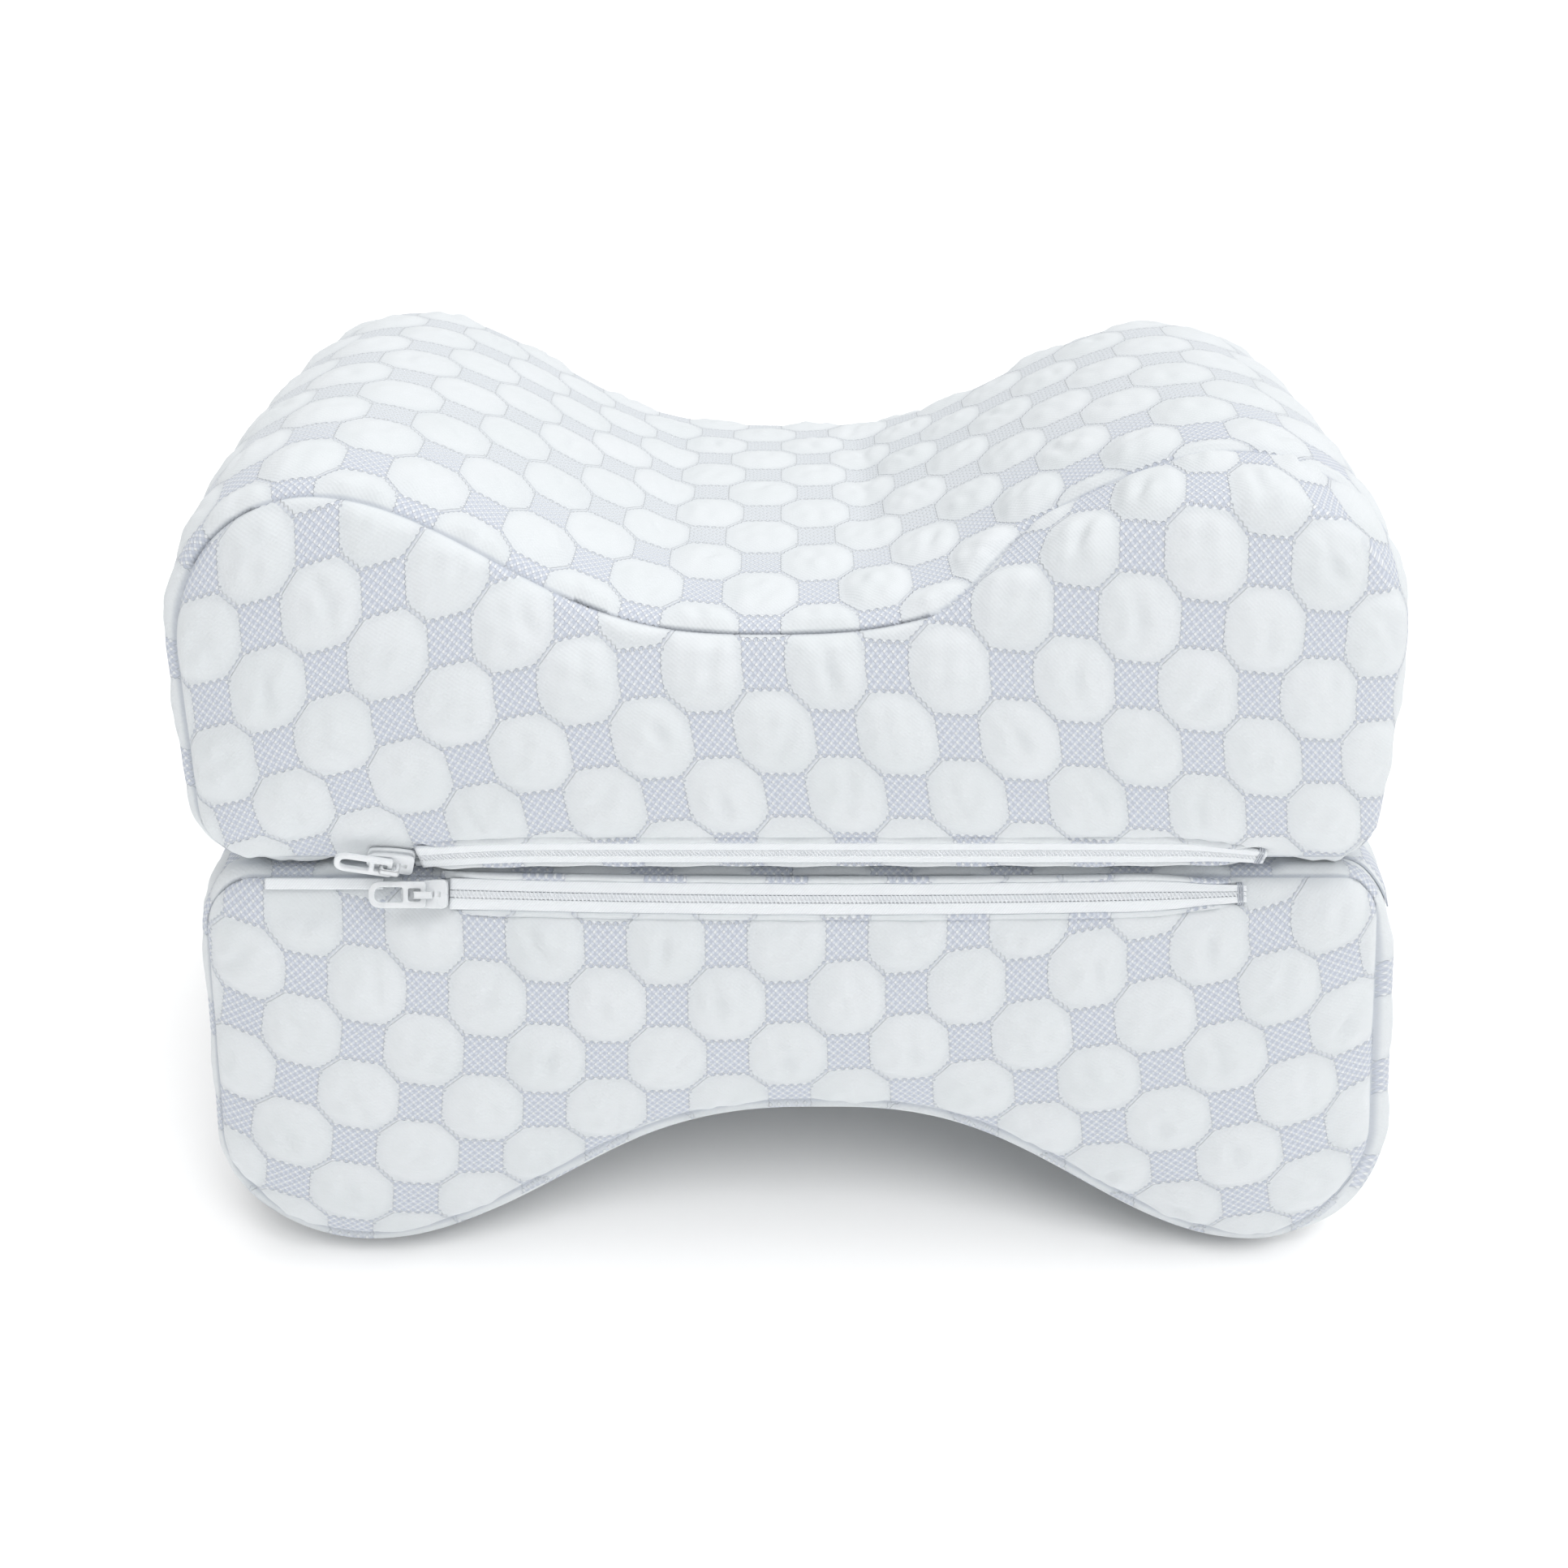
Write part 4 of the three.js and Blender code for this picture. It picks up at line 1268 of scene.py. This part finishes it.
def round_corners(corners_list, radii, count=6):
    """An outline with each corner turned by a quarter circle, or less where the corner is wider:
    a quadratic curve from one side to the other through the corner's own point."""
    points = np.asarray(corners_list, float)
    radii = np.broadcast_to(np.asarray(radii, float), len(points))
    before, after = np.roll(points, 1, 0) - points, np.roll(points, -1, 0) - points
    start = points + unit(before) * radii[:, None]
    stop = points + unit(after) * radii[:, None]
    t = np.linspace(0, 1, count)[None, :, None]
    bend = (1 - t) ** 2 * start[:, None] + 2 * t * (1 - t) * points[:, None] + t**2 * stop[:, None]
    return bend.reshape(-1, 2)


def cut_plate(outlines, thick, bevel):
    """The points and faces of a plate cut to the first outline, with the others as holes. The
    outlines are the plate's widest lines, so the curve is drawn inside them by the bevel."""
    curve = bpy.data.curves.new("plate", "CURVE")
    curve.dimensions = "2D"
    curve.fill_mode = "BOTH"
    curve.extrude = thick / 2 - bevel
    curve.bevel_depth = bevel
    curve.bevel_resolution = 2
    for number, outline in enumerate(outlines):
        chord = unit(np.roll(outline, -1, 0) - np.roll(outline, 1, 0))
        inward = np.stack([-chord[:, 1], chord[:, 0]], 1) * (bevel if number == 0 else -bevel)
        level, weight = np.zeros((len(outline), 1)), np.ones((len(outline), 1))
        spline = curve.splines.new("POLY")
        spline.points.add(len(outline) - 1)
        spline.points.foreach_set("co", np.concatenate([outline + inward, level, weight], 1).ravel())
        spline.use_cyclic_u = True
    holder = bpy.data.objects.new("plate", curve)
    scene.collection.objects.link(holder)
    graph = bpy.context.evaluated_depsgraph_get()
    mesh = bpy.data.meshes.new_from_object(holder.evaluated_get(graph))
    bpy.data.objects.remove(holder)
    return raw_points(mesh), [list(face.vertices) for face in mesh.polygons]


# %% The slider's own place
SLIDER_LENGTH, SLIDER_WIDTH, SLIDER_NOSE, SLIDER_THICK = 9, 5.6, 3.4, 2.2
ZIP_GAP = 0.3
MERGED = 2e-6  # metres between points that are one


def hardware_place(zip_line):
    """Where the slider stands, and its directions: turned in the panel's plane by its own angle."""
    turn = math.radians(zip_line["turn"])
    reach = SLIDER_LENGTH / 2 + SLIDER_WIDTH / 2 * abs(math.sin(turn))
    x, z = zip_line["from"] - ZIP_GAP - reach, float(zip_height(zip_line, zip_line["from"]))
    axes = panel_axes(zip_line["section"], np.array([x]), np.array([z]))
    place, along, up, out = (v[0] for v in axes)
    long = along * math.cos(turn) + up * math.sin(turn)
    return place + out * CLEAR, long, up * math.cos(turn) - along * math.sin(turn), out


def laid(name, points, faces, zip_line):
    """Points in the slider's own directions, laid where it stands, as one merged mesh."""
    place, long, up, out = hardware_place(zip_line)
    piece = mesh_of(name, place + points @ np.stack([long, up, out]), faces)
    recalculated(piece, MERGED)
    piece.data.polygons.foreach_set("use_smooth", np.full(len(piece.data.polygons), True))
    return piece


# %% The slider
PLATE_THICK, WEDGE_THICK, WEDGE_LEVEL, BRIDGE_WIDE = 0.75, 1.2, 1.1, 1.4


def box_corners(left, bottom, right, top):
    """The corners of a rectangle, anticlockwise."""
    return [(left, bottom), (right, bottom), (right, top), (left, top)]


def slider(zip_line):
    """A lower and an upper plate with a wedge between them, and a bridge that the pull hangs in."""
    half, nose, wide, bend = SLIDER_LENGTH / 2, SLIDER_NOSE / 2, SLIDER_WIDTH / 2, 0.5
    right = [(-half, -nose), (bend, -wide), (half, -wide)]
    left = [(half, wide), (bend, wide), (-half, nose)]
    shield = round_corners(right + left, [1.3, 2.0, 1.2, 1.2, 2.0, 1.3])
    plates = [
        (shield, PLATE_THICK, PLATE_THICK / 2),
        (shield * (0.86, 0.72), WEDGE_THICK, WEDGE_LEVEL),
        (shield, PLATE_THICK, SLIDER_THICK - PLATE_THICK / 2),
    ]
    parts = []
    for outline, thick, level in plates:
        points, faces = cut_plate([outline], thick, 0.2)
        parts.append((points + (0, 0, level), faces))
    bridge = round_corners(box_corners(-2.2, -0.5, 2.2, 2.5), [0.2, 0.2, 1.0, 1.0])
    hole = round_corners(box_corners(-1.2, 0.1, 1.2, 1.7), [0.2, 0.2, 0.5, 0.5])
    points, faces = cut_plate([bridge, hole], BRIDGE_WIDE, 0.25)
    parts.append((np.stack([points[:, 0], points[:, 2], points[:, 1] + SLIDER_THICK], 1), faces))
    first, all_faces = 0, []
    for points, faces in parts:
        all_faces += [[first + corner for corner in face] for face in faces]
        first += len(points)
    all_points = np.concatenate([points for points, _ in parts])
    return laid(f"{zip_line['name']}_zip_cast_slider", all_points, all_faces, zip_line)


# %% The pull


def pull(zip_line):
    """A flat ring with a round tip for the finger, and a small eye for the bridge."""
    tip, end, half, thick = -10.6, 0.5, 2.6, 1.0
    plate = round_corners(box_corners(tip, -half, end, half), [2.55, 0.7, 0.7, 2.55], 9)
    eye = round_corners(box_corners(-2.9, -1.2, -0.5, 1.2), 0.4)
    finger = round_corners(box_corners(tip + 1.2, -1.45, -3.9, 1.45), [1.4, 0.5, 0.5, 1.4])
    points, faces = cut_plate([plate, eye, finger], thick, 0.3)
    points[:, 2] += SLIDER_THICK + CLEAR + thick / 2
    return laid(f"{zip_line['name']}_zip_ring_pull", points, faces, zip_line)


# %% Facing tape and bar tacks
THREADS, THREAD_STEP, THREAD_RADIUS = 3, 0.42, 0.19
TACK_HALF, TACK_HIGH = 2.1, 1.45


def facing():
    """The short pale strip that faces the lower section's edge left of its slider."""
    x = np.linspace(-101, -78, 60)
    axes = panel_axes(LOWER, x, np.full_like(x, 93.5))
    return carried("lower_edge_facing_tape", axes, rounded_bar(2.2, TAPE_THICK, CLEAR, TAPE_ROLL))


def tack_thread(zip_line, number):
    """One of the threads sewn across the zip's right end: a half ellipse over both tapes."""
    t = np.linspace(0, np.pi, 25)
    x = np.full_like(t, zip_line["to"] - 1.6 + number * THREAD_STEP)
    place, along, up, out = zip_axes(zip_line, x)
    high = CLEAR - 0.4 + TACK_HIGH * np.sin(t) ** 0.5
    path = place + up * (TACK_HALF * np.cos(t))[:, None] + out * high[:, None]
    side = np.cross(unit(np.gradient(path, axis=0)), along)
    return tube(f"{zip_line['name']}_zip_tack_thread_{number}", path, along, side, THREAD_RADIUS, 6)


# %% Both zips
zip_pieces = []
for zip_line in ZIPS:
    core = rounded_bar(CORE_WIDTH, CORE_THICK, CLEAR, CORE_ROLL)
    stand_ins = [
        ("tape_top", "zip_tape", zip_tape(zip_line, 1)),
        ("tape_bottom", "zip_tape", zip_tape(zip_line, -1)),
        ("chain", "zip_chain", zip_strip(zip_line, "coil", core)),
        ("slider", "slider_metal", slider(zip_line)),
        ("pull", "slider_metal", pull(zip_line)),
    ]
    for node, slot, piece in stand_ins:
        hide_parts(f"{zip_line['name']}_zip_{node}")
        zip_pieces.append((piece, slot))
    zip_pieces += [(coil_wire(zip_line, number, side), "zip_chain") for number, side in enumerate((-1, 1))]
    zip_pieces += [(cover_lip(zip_line, side), "cover") for side in SIDES]
    zip_pieces += [(tack_thread(zip_line, number), "zip_tape") for number in range(THREADS)]
edge_tape = facing()
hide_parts("lower_edge_facing")
zip_pieces.append((edge_tape, "zip_tape"))
for piece, slot in zip_pieces:
    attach(piece, "root")
print(len(zip_pieces), "zip pieces")

# %% [markdown]
# ## The side fold
#
# Along the right side the two covers hang together by a fold of the band, which lets the pillow
# open like a book. It is cloth with nothing in it, so it is a thin sheet: one curve carried from
# front to back, with an outer face as far off as the two knit layers are thick. The curve is the
# solid's own, a Catmull-Rom line through nine points.

# %% The fold's curve
FOLD_X = (115.0, 115.0, 114.0, 113.3, 113.0, 114.0, 116.3, 118.0, 118.8)
FOLD_Z = (107.5, 104.0, 101.0, 98.3, 96.1, 93.9, 91.2, 88.2, 84.5)
FOLD_THICK, FOLD_HALF = 1.3, 62
FOLD_STEPS, FOLD_THROUGH = 56, 168
FOLD_PUFF = 0.45
FOLD_CLEAR, FOLD_GIVE = 0.15, 5.0  # mm off the cushions, and off the route where there is room
RAY_FROM, RAY_LENGTH = 0.2, 0.2


def fold_curve():
    """Points and directions along the route: the cubic weights of the fine grid, on its points."""
    weights = finer(len(FOLD_X), FOLD_STEPS // (len(FOLD_X) - 1), False)
    points = weights @ np.stack([FOLD_X, FOLD_Z], 1)
    return points, unit(np.gradient(points, axis=0))


def side_of_cushions(y, z):
    """How far right the cushions reach at these places: a ray comes in from the right at each."""
    reach = np.zeros(y.shape)
    for piece in cushions.values():
        tree = BVHTree.FromObject(piece, bpy.context.evaluated_depsgraph_get())
        for place in np.ndindex(y.shape):
            start = Vector((RAY_FROM, y[place] * MM, z[place] * MM))
            hit, _, _, _ = tree.ray_cast(start, Vector((-1, 0, 0)), RAY_LENGTH)
            if hit is not None:
                reach[place] = max(reach[place], hit.x / MM + MIDDLE_X)
    return reach


# %% The sheet
FOLD_SEED = 31
FOLD_SHIFT = 0.4  # of a cell, from a column of puffs to the fold's upper hem


def fold_faces(rows, size):
    """The faces of a sheet whose rows go along the inner face and back along the outer one."""
    index = np.arange(rows * size).reshape(rows, size)
    wrapped = np.concatenate([index, index[:, :1]], 1)
    faces = np.swapaxes(corners(wrapped), 0, 1).reshape(-1, 4).tolist()
    for edge in (index[0], index[-1]):
        inner, outer = edge[: size // 2], edge[::-1][: size // 2]
        faces += np.stack([inner[:-1], inner[1:], outer[1:], outer[:-1]], 1).tolist()
    return faces


def side_fold():
    """The sheet: the curve moved out by the band's own swell at each depth, its outer face raised
    a little by the quilting. The two faces and the four edges close it."""
    curve, direction = fold_curve()
    run = np.concatenate([[0], np.cumsum(np.linalg.norm(np.diff(curve, axis=0), axis=1))])
    y = np.linspace(-FOLD_HALF, FOLD_HALF, FOLD_THROUGH + 1)
    u, v = np.meshgrid(run, y)
    height = np.broadcast_to(curve[:, 1], v.shape)
    step = (UPPER["step"][0], BAND_STEP)
    lattice = np.stack([u / step[0] + FOLD_SHIFT, (v + SEAM_Y) / BAND_STEP], -1)
    hem = np.minimum(np.minimum(u, run[-1] - u), FOLD_HALF - np.abs(v))
    puff = FOLD_PUFF * quilting(lattice, step, FOLD_SEED) / PUFF * ease(hem, 0.3, 2.5)
    route = curve[None, :, 0] + SIDE_CROWN * band_profile(y)[:, None]
    across = np.maximum(side_of_cushions(v, height) + FOLD_CLEAR, route - FOLD_GIVE)
    inner = np.stack([across, v, height], -1)
    thick = (FOLD_THICK - FOLD_PUFF + puff) * (0.4 + 0.6 * ease(hem, 0, 3))
    away = np.stack([-direction[:, 1], np.zeros(len(curve)), direction[:, 0]], -1)
    outer = inner + away[None] * thick[..., None]
    grid = np.concatenate([inner, outer[:, ::-1]], 1)
    piece = mesh_of("side_fold_sheet", grid.reshape(-1, 3), fold_faces(*grid.shape[:2]))
    recalculated(piece)
    cells = np.concatenate([lattice, lattice[:, ::-1]], 1).reshape(-1, 2)
    put_uv(piece, "quilt", cells[corner_points(piece)])
    # The distance to a hem, where the knit paints shade as along a seam.
    put_field(piece, "seam_gap", np.concatenate([hem, hem[:, ::-1]], 1).ravel())
    return piece, float(run[-1])


fold, fold_length = side_fold()
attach(fold, "root")
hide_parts("side_fold")
print("the fold is", round(fold_length, 1), "mm long when flat")

# %% [markdown]
# ## Finishes
#
# The cover is one fabric everywhere, so one material serves both cushions, the fold and the
# turned edges. It works in lattice units: the same folding of column and row into one diamond
# cell says whether a point is on a padded octagon, in a mesh square or in a groove. The mesh's
# loops lie on the lattice's diagonals, fourteen to a cell.

# %% The knit
LOOPS = 14
WALES, COURSES = 12, 16  # knitted stitches in a cell, across and up
MESH_EDGE = 0.65


def quilted_knit():
    """White padded octagons, lavender mesh squares with white loops, and a stitched groove. Each puff is
    greyed towards its edge and the cloth darkened along the seams, both painted shade, and the mesh
    squares are paled on the upper section's top, painted light from above.
    """
    recipe = Recipe("quilted_knit")
    column, row = recipe.map("quilt")
    seam, taut_and_top_lit = recipe.field("seam_gap"), recipe.field("taut")

    first, second = abs(((column + row) * 0.5).centred()), abs(((column - row) * 0.5).centred())
    reach = first + second
    side = first.larger(second) * 2
    rising = ((column + row) * (math.pi * LOOPS)).sine()
    falling = ((column - row) * (math.pi * LOOPS)).sine()
    loops = recipe.step(rising.smaller(falling), -0.3, 0.6)
    strokes = recipe.step(rising.larger(falling), -0.3, 0.9)

    edge = (reach / MESH_EDGE) ** 16 + side**16
    between = recipe.step(edge * (rising * falling * 0.75 + 1), 0.55, 1.25)
    # Painted shade: each puff greys towards its stitched edge, where its domed side turns from the light.
    rim = recipe.step((reach / MESH_EDGE) ** 4 + side**4, 0.45, 1.2)
    square = recipe.step(reach, MESH_EDGE - 0.05, MESH_EDGE)
    groove = recipe.step(side + rising * 0.02, 0.94, 0.985) * (1 - square)

    cloud = recipe.cloud(60.0, 3.0)
    puff_tone = recipe.mix(cloud, colour("dadfe1"), colour("e4e7ea"))
    # The painted shade at the puffs' edges, up to three tenths of the way to grey.
    puff_tone = recipe.mix(rim * 0.3, puff_tone, colour("cfd4d9"))
    ground = recipe.mix(strokes, colour("bfc5d1"), colour("d4d9e2"))
    mesh_tone = recipe.mix(loops, ground, colour("e8ebee"))
    groove_tone = recipe.mix(loops, colour("c6cbd3"), colour("d9dde2"))
    off_tone = recipe.mix(groove, mesh_tone, groove_tone)
    off_puff = between.larger(groove * 0.5)
    # The mesh pales where the cover is taut; on the upper section's top this is painted light from above.
    tone = recipe.mix(off_puff * (1 - taut_and_top_lit * 0.75), puff_tone, off_tone)
    # Painted shade: the cloth darkens to blue-grey within about a millimetre of a seam, in its groove.
    tone = recipe.mix(recipe.step(seam, 0.1, 1.0, 0.6, 0.0), tone, colour("a9b0bc"))

    wales = (column * (2 * math.pi * WALES)).sine() * (row * (2 * math.pi * COURSES)).sine()
    mesh = between * (1 - groove) * (loops * 0.22 - 0.25)
    height = (1 - off_puff) * (wales * 0.03 + cloud * 0.12) + mesh - groove * 0.25
    bump = recipe.bump(height, MM, 0.8)
    dull = {"Roughness": 0.88, "Specular_IOR_Level": 0.2, "Sheen_Weight": 0.1}
    return recipe.surface(Base_Color=tone, Normal=bump, **dull)


knit = quilted_knit()
for piece in [*cushions.values(), fold]:
    piece.data.materials.append(knit)

# %% Tape, nylon, thread and lacquer
TWILL, RIBS = 0.55, 0.5  # mm from rib to rib


def woven_tape():
    """Polyester tape: a fine twill, as thin diagonal ribs along the strip."""
    recipe = Recipe("woven_tape")
    run, across = recipe.map("strip")
    twill = ((run + across * 0.8) * (2 * math.pi / TWILL)).sine() * 0.5 + 0.5
    rows = (across * (2 * math.pi / RIBS)).sine() * 0.5 + 0.5
    shade = twill * 0.6 + recipe.cloud(150.0) * 0.4
    tone = recipe.mix(shade, colour("e6eaee"), colour("f3f6f8"))
    bump = recipe.bump(twill * 0.04 + rows * 0.03, MM, 0.7)
    return recipe.surface(Base_Color=tone, Roughness=0.6, Normal=bump, Sheen_Weight=0.1)


def nylon():
    """The coil's translucent white wire."""
    recipe = Recipe("coil_nylon")
    cloud = recipe.cloud(300.0)
    tone = recipe.mix(cloud, colour("e9edf1"), colour("f4f6f8"))
    rough = recipe.step(cloud, 0, 1, 0.35, 0.5)
    return recipe.surface(Base_Color=tone, Roughness=rough, Specular_IOR_Level=0.4)


def polyester_thread():
    """Grey polyester thread, twisted: pale and dark bands follow each other along it."""
    recipe = Recipe("tack_thread")
    tone = recipe.mix(recipe.cloud(1500.0, 1.0), colour("aab0ba"), colour("c8ccd2"))
    return recipe.surface(Base_Color=tone, Roughness=0.7)


def lacquered():
    """Cast zinc under white lacquer, which is thinner and greyer here and there."""
    recipe = Recipe("slider_white_lacquer")
    cloud = recipe.cloud(400.0, 3.0)
    tone = recipe.mix(cloud, colour("dfe3e6"), colour("eef0f2"))
    rough = recipe.step(cloud, 0.2, 0.9, 0.25, 0.4)
    bump = recipe.bump(cloud * 0.02, MM, 0.5)
    return recipe.surface(Base_Color=tone, Roughness=rough, Normal=bump, Coat_Weight=0.3)


finishes = {"cover": knit, "zip_tape": woven_tape(), "zip_chain": nylon(), "slider_metal": lacquered()}
thread = polyester_thread()
for piece, slot in zip_pieces:
    piece.data.materials.append(thread if "tack_thread" in piece.name else finishes[slot])
print("finishes:", sorted(finishes))
